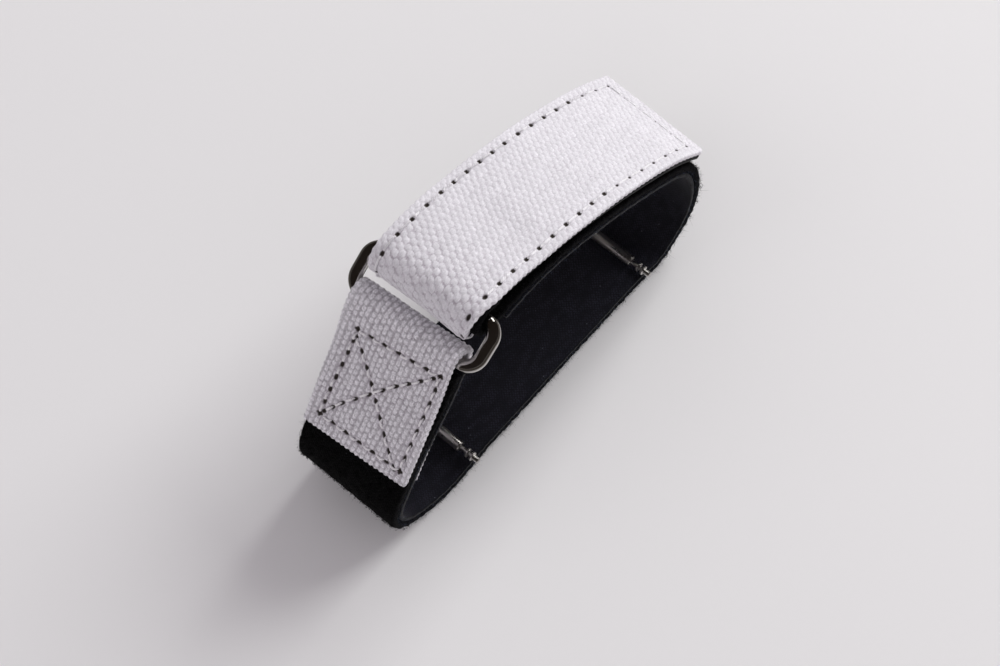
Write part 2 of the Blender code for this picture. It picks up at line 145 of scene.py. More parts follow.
class PlyLine:
    """A line of points (x, z) that plies are wrapped onto."""

    def __init__(self, points: np.ndarray) -> None:
        """Measure the line through points, one row (x, z) each."""
        self.points = points
        self.along = np.concatenate(([0.0], np.cumsum(np.hypot(*np.diff(points, axis=0).T))))
        ways = np.gradient(points, self.along, axis=0)
        self.ways = ways / np.linalg.norm(ways, axis=1, keepdims=True)
        self.length = float(self.along[-1])

    def at(self, along: np.ndarray) -> tuple[np.ndarray, np.ndarray]:
        """Return the places and the ways of the line at distances along it, straight on past its ends."""
        inside = np.clip(along, 0.0, self.length)
        place = np.stack([np.interp(inside, self.along, self.points[:, k]) for k in (0, 1)], -1)
        way = np.stack([np.interp(inside, self.along, self.ways[:, k]) for k in (0, 1)], -1)
        way /= np.linalg.norm(way, axis=1, keepdims=True)
        return place + way * (along - inside)[:, None], way

    def beside(self, along: np.ndarray, out: float | np.ndarray) -> np.ndarray:
        """Return places (x, z) at distances along the line, moved outside it."""
        place, way = self.at(np.asarray(along, float))
        return place + np.stack([way[:, 1], -way[:, 0]], -1) * np.reshape(out, (-1, 1))

    def wrap(self, flat: np.ndarray) -> np.ndarray:
        """Return places in space for flat ones (along, across, out)."""
        side = self.beside(flat[:, 0], flat[:, 2])
        return LEAN.move(np.column_stack([side[:, 0], flat[:, 1], side[:, 1]]))

    def stretch(self, start: float, end: float, out: float) -> np.ndarray:
        """Return the line's own places from start to end, moved outside it."""
        inner = self.along[(self.along > start + WELD) & (self.along < end - WELD)]
        return self.beside(np.concatenate(([start], inner, [end])), out)


def heading(angle: float) -> np.ndarray:
    """Return the unit way (x, z) at an angle above +X."""
    return np.array((math.cos(angle), math.sin(angle)))


def right_of(way: np.ndarray) -> np.ndarray:
    """Return the way to the right of another, which is the outer side of the loop."""
    return np.array((way[1], -way[0]))


def half_circle(middle: np.ndarray, radius: float, angle: float, count: int) -> np.ndarray:
    """Return the inner places of a half circle that starts at an angle and turns clockwise."""
    turns = angle - np.linspace(0.0, math.pi, count)[1:-1]
    return middle + np.stack([np.cos(turns), np.sin(turns)], -1) * radius


def smooth_line(points: np.ndarray, first: np.ndarray, last: np.ndarray, step: float) -> np.ndarray:
    """Return a smooth line through points, with given ways at its ends.

    Args:
        points: the places that it passes through, one row (x, z) each.
        first: the unit way at its start.
        last: the unit way at its end.
        step: about how far apart the line's own places are.

    Returns:
        The line's places, one row each.
    """
    chords = np.hypot(*np.diff(points, axis=0).T)
    count = len(points)
    system, right = np.zeros((count, count)), np.zeros((count, 2))
    system[0, 0] = system[-1, -1] = 1.0
    right[0], right[-1] = first, last
    for i in range(1, count - 1):
        before, after = chords[i - 1], chords[i]
        system[i, i - 1 : i + 2] = (after, 2.0 * (before + after), before)
        slopes = (points[i] - points[i - 1]) / before, (points[i + 1] - points[i]) / after
        right[i] = 3.0 * (after * slopes[0] + before * slopes[1])
    slopes = np.linalg.solve(system, right)
    line = []
    for i, chord in enumerate(chords):
        pieces = max(1, round(chord / step))
        t = (np.arange(pieces) / pieces)[:, None]
        keep = (2 * t**3 - 3 * t**2 + 1) * points[i] + (3 * t**2 - 2 * t**3) * points[i + 1]
        line.append(keep + ((t**3 - 2 * t**2 + t) * slopes[i] + (t**3 - t**2) * slopes[i + 1]) * chord)
    return np.concatenate([*line, points[-1:]])


@dataclass(frozen=True)
class Course:
    """The strap's course, seen from the side, from the ring's lower bar round to the tail's free end.

    Left and right are places on the loop, as shares of its length and its rise.
    """

    loop: Pair = (0.0714, 0.0393)
    seat: Pair = (0.0090, 0.0010)
    seat_middle: Pair = (0.001859, 0.002597)
    run_end_slope: float = math.radians(185.0)
    tab_angle: float = math.radians(229.0)
    ring_tilt: float = math.radians(38.0)
    ring_pitch: float = 0.0081
    fold_radius: float = 0.0032
    tape_middle: float = 0.0003
    lap_distance: float = 0.0034
    settle_length: float = 0.0130
    tail_lap: float = 0.0443974
    tail_overhang: float = 0.0060
    peel_offset: float = 0.0036
    step: float = 0.0003
    left: Stops = (
        (-0.335, 0.772), (-0.424, 0.568), (-0.498, 0.371), (-0.528, 0.239), (-0.507, 0.125), (-0.454, 0.049),
        (-0.366, 0.000), (-0.290, 0.015),
    )
    right: Stops = (
        (0.290, 0.015), (0.348, 0.000), (0.405, 0.060), (0.448, 0.145), (0.471, 0.270), (0.472, 0.385),
        (0.444, 0.552), (0.324, 0.730), (0.203, 0.855), (0.084, 0.947), (-0.021, 0.997), (-0.105, 1.000),
        (-0.185, 0.982),
    )

    @property
    def shift(self) -> np.ndarray:
        """Return the way from the loop's own origin to its place in the model."""
        return np.array(self.seat_middle) - np.array((0.0, self.seat[1]))

    def bars(self) -> tuple[np.ndarray, np.ndarray]:
        """Return the middles (x, z) of the ring's upper and lower bars, before the shift."""
        last = np.array(self.right[-1]) * np.array(self.loop)
        upper = last + right_of(heading(self.run_end_slope)) * self.fold_radius
        return upper, upper - heading(self.ring_tilt) * self.ring_pitch

    def run(self) -> tuple[PlyLine, dict[str, float]]:
        """Return the whole line and its stations.

        Returns:
            The line between the two plies, and how far along it the loop ends, the fold ends and the tail lifts.
        """
        left, right = np.array(self.left) * np.array(self.loop), np.array(self.right) * np.array(self.loop)
        upper, lower = self.bars()
        start = lower - right_of(heading(self.tab_angle)) * self.tape_middle
        seat, level = np.array(self.seat), np.array((1.0, 0.0))
        first = smooth_line(np.array([start, *left, (-seat[0], seat[1])]), heading(self.tab_angle), level, self.step)
        last = smooth_line(np.array([seat, *right]), level, heading(self.run_end_slope), self.step)
        loop = PlyLine(np.concatenate([first, last]))
        fold = half_circle(upper, self.fold_radius, self.run_end_slope + math.pi / 2, 42)
        back = np.append(np.arange(0.0, self.tail_lap, self.step)[:-1], self.tail_lap)
        share = np.minimum(back / self.settle_length, 1.0)
        lift = 2 * self.fold_radius + (self.lap_distance - 2 * self.fold_radius) * share**2 * (3.0 - 2.0 * share)
        tail = loop.beside(loop.length - back, lift)
        onward = (tail[-1] - tail[-2]) / np.linalg.norm(tail[-1] - tail[-2])
        tail = np.concatenate([tail, tail[-1] + onward * self.tail_overhang * np.array([[0.5], [1.0]])])
        line = PlyLine(np.concatenate([loop.points, fold, tail]) + self.shift)
        fold_end = float(line.along[len(loop.points) + len(fold)])
        return line, {"loop_end": loop.length, "fold_end": fold_end, "peel": fold_end + self.peel_offset}


# ---------------------------------------------------------------- meshes


def link(name: str, data: bpy.types.Mesh) -> bpy.types.Object:
    """Put a mesh in the scene as an object at the origin."""
    item = bpy.data.objects.new(name, data)
    bpy.context.scene.collection.objects.link(item)
    return item


def keep(name: str, mesh: bmesh.types.BMesh) -> bpy.types.Mesh:
    """Return a new mesh that holds a bmesh, and free the bmesh."""
    data = bpy.data.meshes.new(name)
    mesh.to_mesh(data)
    mesh.free()
    return data


def read(items: bpy.types.bpy_prop_collection, key: str, width: int = 1, kind: type = np.int32) -> np.ndarray:
    """Return one value, or a row of values, for each item of a mesh's collection."""
    values = np.zeros(len(items) * width, kind)
    items.foreach_get(key, values)
    return values.reshape(-1, width) if width > 1 else values


def places(data: bpy.types.Mesh) -> np.ndarray:
    """Return a mesh's vertices, one row each."""
    return read(data.vertices, "co", 3, np.float32).astype(float)


def move_to(data: bpy.types.Mesh, points: np.ndarray) -> None:
    """Move a mesh's vertices to points."""
    data.vertices.foreach_set("co", points.astype(np.float32).ravel())
    data.update()


def settle(data: bpy.types.Mesh) -> None:
    """Point a closed mesh's faces outward and shade it smooth."""
    mesh = bmesh.new()
    mesh.from_mesh(data)
    bmesh.ops.recalc_face_normals(mesh, faces=mesh.faces)
    mesh.to_mesh(data)
    mesh.free()
    data.polygons.foreach_set("use_smooth", [True] * len(data.polygons))
    data.update()


def set_uv(data: bpy.types.Mesh, values: np.ndarray) -> None:
    """Give a mesh a UV map from values per face corner, in millimetres."""
    data.uv_layers.new(name="cloth").data.foreach_set("uv", values.astype(np.float32).ravel())


def stations(length: float, cell: float, rim: float) -> np.ndarray:
    """Return even places along a length, and closer ones where its ends are rounded."""
    turn = rim * (1.0 - np.cos(np.linspace(0.0, math.pi / 2, 4)))
    middle = np.linspace(rim, length - rim, max(2, round((length - 2 * rim) / cell) + 1))
    return np.concatenate([turn[:-1], middle, length - turn[-2::-1]])


def rounding(radius: float, away: np.ndarray) -> np.ndarray:
    """Return how far a rounded edge falls back, at distances from it."""
    return radius - np.sqrt(np.maximum(radius**2 - np.maximum(radius - away, 0.0) ** 2, 0.0))


@dataclass
class Strip:
    """A strip of cloth or tape: cut flat, then wrapped onto a line."""

    name: str
    line: PlyLine
    start: float
    end: float
    width: float
    low: float
    high: float
    cell: Pair
    rim: float
    corner: float = 0.0

    def cut(self, form: Callable[[np.ndarray], np.ndarray] | None = None) -> tuple[bpy.types.Mesh, np.ndarray]:
        """Cut the strip flat, as a closed mesh with rounded rims and a UV map in millimetres.

        Args:
            form: moves the flat places before the UV map is made, where the strip isn't cut square.

        Returns:
            The mesh, whose vertices are (along, across, out), and those places before they were moved.
        """
        length = self.end - self.start
        rows, columns = stations(length, self.cell[0], self.rim), stations(self.width, self.cell[1], self.rim)
        mesh = bmesh.new()
        bmesh.ops.create_grid(mesh, x_segments=len(rows) - 1, y_segments=len(columns) - 1, size=0.5)
        bmesh.ops.solidify(mesh, geom=mesh.faces[:], thickness=1.0)
        data = keep(self.name, mesh)
        raw = places(data)
        above = raw[:, 2] > np.mean([raw[:, 2].min(), raw[:, 2].max()])
        down = rows[np.rint((raw[:, 0] + 0.5) * (len(rows) - 1)).astype(int)]
        over = columns[np.rint((raw[:, 1] + 0.5) * (len(columns) - 1)).astype(int)]
        from_end = np.minimum(down, length - down)
        drop = np.maximum(rounding(self.rim, from_end), rounding(self.rim, np.minimum(over, self.width - over)))
        across = over - self.width / 2
        if self.corner:
            across *= 1.0 - rounding(self.corner, from_end) / (self.width / 2)
        square = np.column_stack([self.start + down, across, np.where(above, self.high - drop, self.low + drop)])
        flat = form(square) if form else square
        move_to(data, flat)
        where = flat[read(data.loops, "vertex_index")] / MM
        sideways = np.abs(read(data.polygons, "normal", 3, np.float32)[:, 1]) > 0.7
        rim_face = np.repeat(sideways, read(data.polygons, "loop_total"))
        where[rim_face, 1] += np.sign(where[rim_face, 1]) * (self.high / MM - where[rim_face, 2])
        set_uv(data, where[:, :2])
        return data, square

    def wrap(self, data: bpy.types.Mesh, flat: np.ndarray) -> bpy.types.Object:
        """Wrap the strip's mesh onto its line, with its vertices at flat places, and return the finished object."""
        move_to(data, self.line.wrap(flat))
        settle(data)
        return link(self.name, data)


def closed_tube(name: str, sides: int, rings: int) -> tuple[bpy.types.Mesh, np.ndarray, np.ndarray]:
    """Return a closed tube's mesh, and each vertex's ring and angle."""
    mesh = bmesh.new()
    bmesh.ops.create_circle(mesh, cap_ends=True, segments=sides, radius=1.0)
    face = mesh.faces[:][0]
    for _ in range(rings - 1):
        made = bmesh.ops.extrude_face_region(mesh, geom=[face])["geom"]
        bmesh.ops.translate(mesh, verts=[g for g in made if isinstance(g, bmesh.types.BMVert)], vec=(0, 0, 1))
        face = next(g for g in made if isinstance(g, bmesh.types.BMFace))
    bmesh.ops.recalc_face_normals(mesh, faces=mesh.faces)
    data = keep(name, mesh)
    raw = places(data)
    return data, np.rint(raw[:, 2]).astype(int), np.arctan2(raw[:, 1], raw[:, 0])


def many_tubes(name: str, count: int, rings: int) -> tuple[bpy.types.Mesh, np.ndarray, np.ndarray, np.ndarray]:
    """Make a mesh of many small three-sided tubes, all in one place.

    Args:
        name: the mesh's name.
        count: how many tubes it holds.
        rings: how many rings of vertices each has.

    Returns:
        The mesh, and each vertex's tube, share of its tube's length and angle.
    """
    small, ring, angle = closed_tube(f"{name}_shape", 3, rings)
    item = link(name, small)
    array = item.modifiers.new("copies", "ARRAY")
    array.count, array.use_relative_offset, array.use_constant_offset = count, False, True
    array.constant_offset_displace = (0.0, 0.0, 0.0)
    data = bpy.data.meshes.new_from_object(item.evaluated_get(bpy.context.evaluated_depsgraph_get()))
    bpy.data.objects.remove(item)
    data.name = name
    which = np.repeat(np.arange(count), len(ring))
    return data, which, np.tile(ring, count) / (rings - 1), np.tile(angle, count)


def frames_along(path: np.ndarray) -> tuple[np.ndarray, np.ndarray]:
    """Return two unit ways square to a path at each of its points, which turn as little as they can."""
    ways = np.gradient(path, axis=0)
    ways /= np.linalg.norm(ways, axis=1, keepdims=True)
    side = np.cross(ways[0], (0.31, 0.95, 0.05))
    sides = []
    for way in ways:
        side = side - way * np.dot(side, way)
        side /= np.linalg.norm(side)
        sides.append(side)
    sides = np.array(sides)
    return sides, np.cross(ways, sides)


def swept(name: str, path: np.ndarray, radius: float, sides: int = 8) -> bpy.types.Object:
    """Sweep a round section along a path, with closed ends and a UV map (millimetres along, turns around).

    Args:
        name: the object's name.
        path: the places that it follows, one row each.
        radius: its radius.
        sides: how many sides it has.

    Returns:
        The object.
    """
    data, ring, angle = closed_tube(name, sides, len(path))
    first, second = frames_along(path)
    radii = np.full(len(path), radius)
    radii[[0, -1]] *= 0.5
    spread = first[ring] * np.cos(angle)[:, None] + second[ring] * np.sin(angle)[:, None]
    move_to(data, path[ring] + spread * radii[ring][:, None])
    along = np.concatenate(([0.0], np.cumsum(np.linalg.norm(np.diff(path, axis=0), axis=1)))) / MM
    corner = read(data.loops, "vertex_index")
    turn = (angle[corner] / (2 * math.pi)) % 1.0
    counts = read(data.polygons, "loop_total")
    owner = np.repeat(np.arange(len(counts)), counts)
    low, high = np.full(len(counts), 9.0), np.full(len(counts), -9.0)
    np.minimum.at(low, owner, turn)
    np.maximum.at(high, owner, turn)
    turn = np.where((high - low > 0.5)[owner] & (turn < 0.5), turn + 1.0, turn)
    set_uv(data, np.column_stack([along[ring[corner]], turn]))
    settle(data)
    return link(name, data)


@dataclass(frozen=True)
class Fuzz:
    """Fine fibres that stand out of both edges of a strip, and some of them out of its outer face.

    Half is where its edges are, out how far out of the line their roots are, length the shortest and longest,
    and face the share of them on the outer face.
    """

    count: int
    start: float
    end: float
    out: Pair
    length: Pair
    face: float = 0.0
    half: float = HALF_WIDTH - 0.0001
    radius: float = 0.000014
    rings: int = 5

    def grow(self, name: str, line: PlyLine, rng: np.random.Generator) -> bpy.types.Object:
        """Grow the fibres.

        Args:
            name: the piece's name.
            line: the line that their ply follows.
            rng: the source of their places and curls.

        Returns:
            The piece.
        """
        count = self.count
        side = np.where(rng.random(count) < 0.5, -1.0, 1.0)
        flat = rng.random(count) < self.face
        across = np.where(flat, rng.uniform(-self.half, self.half, count), side * self.half)
        roots = np.column_stack([rng.uniform(self.start, self.end, count), across,
                                 np.where(flat, self.out[1], rng.uniform(*self.out, count))])
        ways = np.column_stack([rng.normal(0.0, 0.6, count), np.where(flat, rng.normal(0.0, 0.6, count), side),
                                np.where(flat, 1.0, rng.normal(0.2, 0.5, count))])
        ways /= np.linalg.norm(ways, axis=1, keepdims=True)
        lengths = rng.uniform(*self.length, count)
        curl = rng.normal(0.0, 0.45, (count, 3))
        mesh, which, share, angle = many_tubes(name, count, self.rings)
        share, long = share[:, None], lengths[which][:, None]
        path = roots[which] + ways[which] * share * long + curl[which] * share**2 * long
        sides = np.cross(ways, (0.3, 0.5, 0.8))
        sides /= np.linalg.norm(sides, axis=1, keepdims=True)
        spread = sides[which] * np.cos(angle)[:, None] + np.cross(ways, sides)[which] * np.sin(angle)[:, None]
        points = line.wrap(path + spread * self.radius * (1.0 - 0.6 * share))
        points[:, 2] = np.maximum(points[:, 2], FLOOR_GAP)
        move_to(mesh, points)
        settle(mesh)
        return link(name, mesh)


# ---------------------------------------------------------------- weave and stitches

DOME = 2.4
LUCK = (2.4, 3.7, 5.0), (2.1, 1.3, -2.2)
STRAY = (3.1, -1.7, 3.0), (1.9, 2.7, 1.1)


def uneven(i: np.ndarray, j: np.ndarray, shift: float, outer: Triple, inner: Triple) -> np.ndarray:
    """Return an uneven value, -1 to 1, for each crown (i, j) of a weave."""
    bend = inner[0] * np.sin(inner[1] * i + inner[2] * j)
    return np.sin(outer[0] * i + outer[1] * j + outer[2] * shift + bend)


@dataclass(frozen=True)
class Weave:
    """A plain weave whose lengthwise threads cover the cross ones, so that it shows as staggered crowns.

    Millimetres: along is from crown to crown in a row, across from row to row. Skew is how far the rows of crowns
    run askew, and slant how far each crown leans. Length and breadth are half a crown's, and stray how far
    a crown is out of its place, as shares of the two steps.
    """

    along: float
    across: float
    skew: float = 0.0
    slant: float = 0.1
    length: float = 0.46
    breadth: float = 0.60
    stray: float = 0.12

    def relief(self, u: np.ndarray, v: np.ndarray) -> tuple[np.ndarray, np.ndarray]:
        """Return how high the weave stands at places in millimetres, and a chance value for each crown, 0 to 1."""
        best, chance = np.zeros(len(u)), np.zeros(len(u))
        for shift in (0.0, 0.5):
            run, row = (u - self.skew * v) / self.along + shift, v / (2 * self.across) + shift
            i, j = np.rint(run), np.rint(row)
            luck, stray = uneven(i, j, shift, *LUCK), uneven(i, j, shift, *STRAY)
            db = (row - j) * 2 * self.across - self.stray * self.across * stray
            da = (run - i) * self.along - self.stray * self.along * luck - self.slant * db
            da, db = np.abs(da / (self.length * self.along)), np.abs(db / (self.breadth * self.across))
            dome = 1.0 - da**DOME - db**DOME
            chance = np.where(dome > best, 0.5 + 0.25 * (luck + stray), chance)
            best = np.maximum(best, dome)
        return best, chance


@dataclass(frozen=True)
class Row:
    """A straight row of stitches between two places (along, across), in metres.

    Hole is half a needle hole's size, along the row and across it. Close and wide are how far the row draws the
    cloth in.
    """

    start: Pair
    end: Pair
    pitch: float
    hole: Pair = (0.00038, 0.00028)
    close: float = 0.00045
    wide: float = 0.0013

    @property
    def length(self) -> float:
        """Return the row's length."""
        return math.dist(self.start, self.end)

    @property
    def count(self) -> int:
        """Return how many stitches the row has."""
        return max(1, round(self.length / self.pitch))

    def pull(self, along: np.ndarray, across: np.ndarray) -> tuple[np.ndarray, np.ndarray, np.ndarray]:
        """Return how much the row draws the cloth in, close by and widely, and how near a hole is, all 0 to 1."""
        start, end = np.array(self.start), np.array(self.end)
        way = (end - start) / self.length
        run = (along - start[0]) * way[0] + (across - start[1]) * way[1]
        off = (along - start[0]) * way[1] - (across - start[1]) * way[0]
        beyond = np.maximum(np.maximum(-run, run - self.length), 0.0)
        step = self.length / self.count
        hole = np.clip(np.rint(run / step), 0, self.count) * step
        away = off**2 + beyond**2
        near = np.exp(-((off / self.hole[1]) ** 2) - ((run - hole) / self.hole[0]) ** 2)
        return np.exp(-away / self.close**2), np.exp(-away / self.wide**2), near


@dataclass
class Seam:
    """A sewn line of one or more rows: the thread lies in the cloth's face and dips into each hole.

    Face is how far out the cloth's face is, and side 1 if it looks outward. Profile says how high the thread is
    at shares of one stitch: below 0 as shares of dip, down into the hole, and above 0 as shares of rise.
    Crossing is where it climbs over another thread.
    """

    rows: list[Row]
    face: float
    side: float
    rise: float = 0.00008
    profile: Stops = (
        (0.0, -1.1), (0.08, -1.1), (0.12, -0.9), (0.16, -0.2), (0.22, 0.6), (0.34, 1.0), (0.50, 0.9), (0.66, 1.0),
        (0.76, 0.6), (0.83, -0.2), (0.88, -0.9), (0.92, -1.1),
    )
    crossing: Pair | None = None
    dip: float = 0.00078
    radius: float = 0.00018
    climb: float = 0.00022
    climb_reach: float = 0.0009

    def course(self) -> np.ndarray:
        """Return the thread's course as (along, across, out), one row a place."""
        shares, heights = np.array(self.profile).T
        course = []
        for number, row in enumerate(self.rows):
            start, end = np.array(row.start), np.array(row.end)
            for k in range(row.count):
                where = start + (end - start) * ((k + shares) / row.count)[:, None]
                tight = 0.75 + 0.35 * math.sin(2.7 * k + 1.9 * number + 1.3 * math.sin(1.7 * k))
                height = np.where(heights > 0, heights * self.rise * tight, heights * self.dip)
                if self.crossing:
                    away = np.sum((where - self.crossing) ** 2, axis=1)
                    height += np.exp(-away / self.climb_reach**2) * self.climb
                course.append(np.column_stack([where, self.face + self.side * height]))
        last = (*self.rows[-1].end, self.face - self.side * self.dip)
        return np.concatenate([*course, [last]])

    def sew(self, name: str, line: PlyLine, drift: Drift = Drift()) -> bpy.types.Object:
        """Sew the seam onto a line's ply, which drifts, and return the thread."""
        return swept(name, line.wrap(drift.move(self.course())), self.radius)


# ---------------------------------------------------------------- finishes


class Graph:
    """Adds nodes to a node tree and joins them."""

    def __init__(self, tree: bpy.types.NodeTree) -> None:
        """Work on a node tree."""
        self.tree = tree

    def join(self, outlet: Socket, inlet: Socket) -> None:
        """Link two sockets."""
        self.tree.links.new(outlet, inlet)

    def add(self, kind: str, feeds: dict | None = None, **settings) -> bpy.types.Node:
        """Add a node.

        Args:
            kind: the node's type name, without Shader and Node.
            feeds: what goes into its sockets, by name or number: a socket or a constant.
            settings: its own settings.

        Returns:
            The node.
        """
        node = self.tree.nodes.new(f"ShaderNode{kind}")
        for key, value in settings.items():
            setattr(node, key, value)
        for key, value in (feeds or {}).items():
            if isinstance(value, Socket):
                self.join(value, node.inputs[key])
            else:
                node.inputs[key].default_value = value
        return node

    def group(self, tree: bpy.types.NodeTree, place: Socket, **feeds: Socket | float | Triple) -> bpy.types.Node:
        """Add a node group at a place, with its other inputs."""
        return self.add("Group", {"Place": place, **feeds}, node_tree=tree)

    def math(self, operation: str, *values: Socket | float) -> Socket:
        """Return the result of a Math node."""
        return self.add("Math", dict(enumerate(values)), operation=operation).outputs[0]

    def product(self, first: Socket | float, *others: Socket | float) -> Socket:
        """Return the product of values."""
        for other in others:
            first = self.math("MULTIPLY", first, other)
        return first

    def vector(self, operation: str, *values: Socket | Triple, **feeds: Socket | float) -> Socket:
        """Return the result of a Vector Math node."""
        node = self.add("VectorMath", {**dict(enumerate(values)), **feeds}, operation=operation)
        return node.outputs["Value" if operation in ("DOT_PRODUCT", "LENGTH") else "Vector"]

    def split(self, vector: Socket) -> tuple[Socket, Socket, Socket]:
        """Return a vector's three values."""
        return tuple(self.add("SeparateXYZ", {0: vector}).outputs)

    def uneven(self, i: Socket, j: Socket, shift: float, outer: Triple, inner: Triple) -> Socket:
        """Return an uneven value, -1 to 1, for each crown (i, j) of a weave."""
        bend = self.math("SINE", self.math("MULTIPLY_ADD", i, inner[1], self.product(j, inner[2])))
        turn = self.math("MULTIPLY_ADD", i, outer[0], self.math("MULTIPLY_ADD", j, outer[1], outer[2] * shift))
        return self.math("SINE", self.math("MULTIPLY_ADD", bend, inner[0], turn))

    def fit(self, value: Socket, low: Socket | float, high: float, to_low: float = 0.0, to_high: float = 1.0) -> Socket:
        """Return a value eased from one range to another."""
        feeds = {"Value": value, "From Min": low, "From Max": high, "To Min": to_low, "To Max": to_high}
        return self.add("MapRange", feeds, interpolation_type="SMOOTHSTEP").outputs[0]

    def mix(self, share: Socket | float, first: Socket | Triple, second: Socket | Triple, blend: str = "MIX") -> Socket:
        """Return a mixture of two colours."""
        colours = [(*c, 1.0) if isinstance(c, tuple) else c for c in (first, second)]
        feeds = {0: share, 6: colours[0], 7: colours[1]}
        return self.add("Mix", feeds, data_type="RGBA", blend_type=blend).outputs[2]

    def noise(self, place: Socket, scale: float, detail: float = 2.0, rough: float = 0.5) -> Socket:
        """Return the value of a Noise texture."""
        return self.add("TexNoise", {"Vector": place, "Scale": scale, "Detail": detail, "Roughness": rough}).outputs[0]

    def stretched(self, place: Socket, scale: Triple, turn: float = 0.0) -> Socket:
        """Return a place turned about Z and then scaled."""
        turned = self.add("VectorRotate", {"Vector": place, "Angle": turn}, rotation_type="Z_AXIS").outputs[0]
        return self.vector("MULTIPLY", turned, scale)

    def flat_place(self) -> Socket:
        """Return the place on the flat cloth, in millimetres."""
        return self.add("UVMap", uv_map="cloth").outputs[0]


def group_tree(name: str, inputs: dict[str, float | None], outputs: tuple[str, ...]) -> tuple[Graph, dict, dict]:
    """Start a node group.

    Args:
        name: the group's name.
        inputs: its inputs beside Place and their defaults; None makes a vector input.
        outputs: its outputs, all values.

    Returns:
        The graph inside, its input sockets by name and its output sockets by name.
    """
    tree = bpy.data.node_groups.new(name, "ShaderNodeTree")
    for key, default in {"Place": None, **inputs}.items():
        kind = "NodeSocketVector" if default is None else "NodeSocketFloat"
        socket = tree.interface.new_socket(name=key, in_out="INPUT", socket_type=kind)
        if default is not None:
            socket.default_value = default
    for key in outputs:
        tree.interface.new_socket(name=key, in_out="OUTPUT", socket_type="NodeSocketFloat")
    inside, outside = tree.nodes.new("NodeGroupInput"), tree.nodes.new("NodeGroupOutput")
    return Graph(tree), {s.name: s for s in inside.outputs}, {s.name: s for s in outside.inputs}


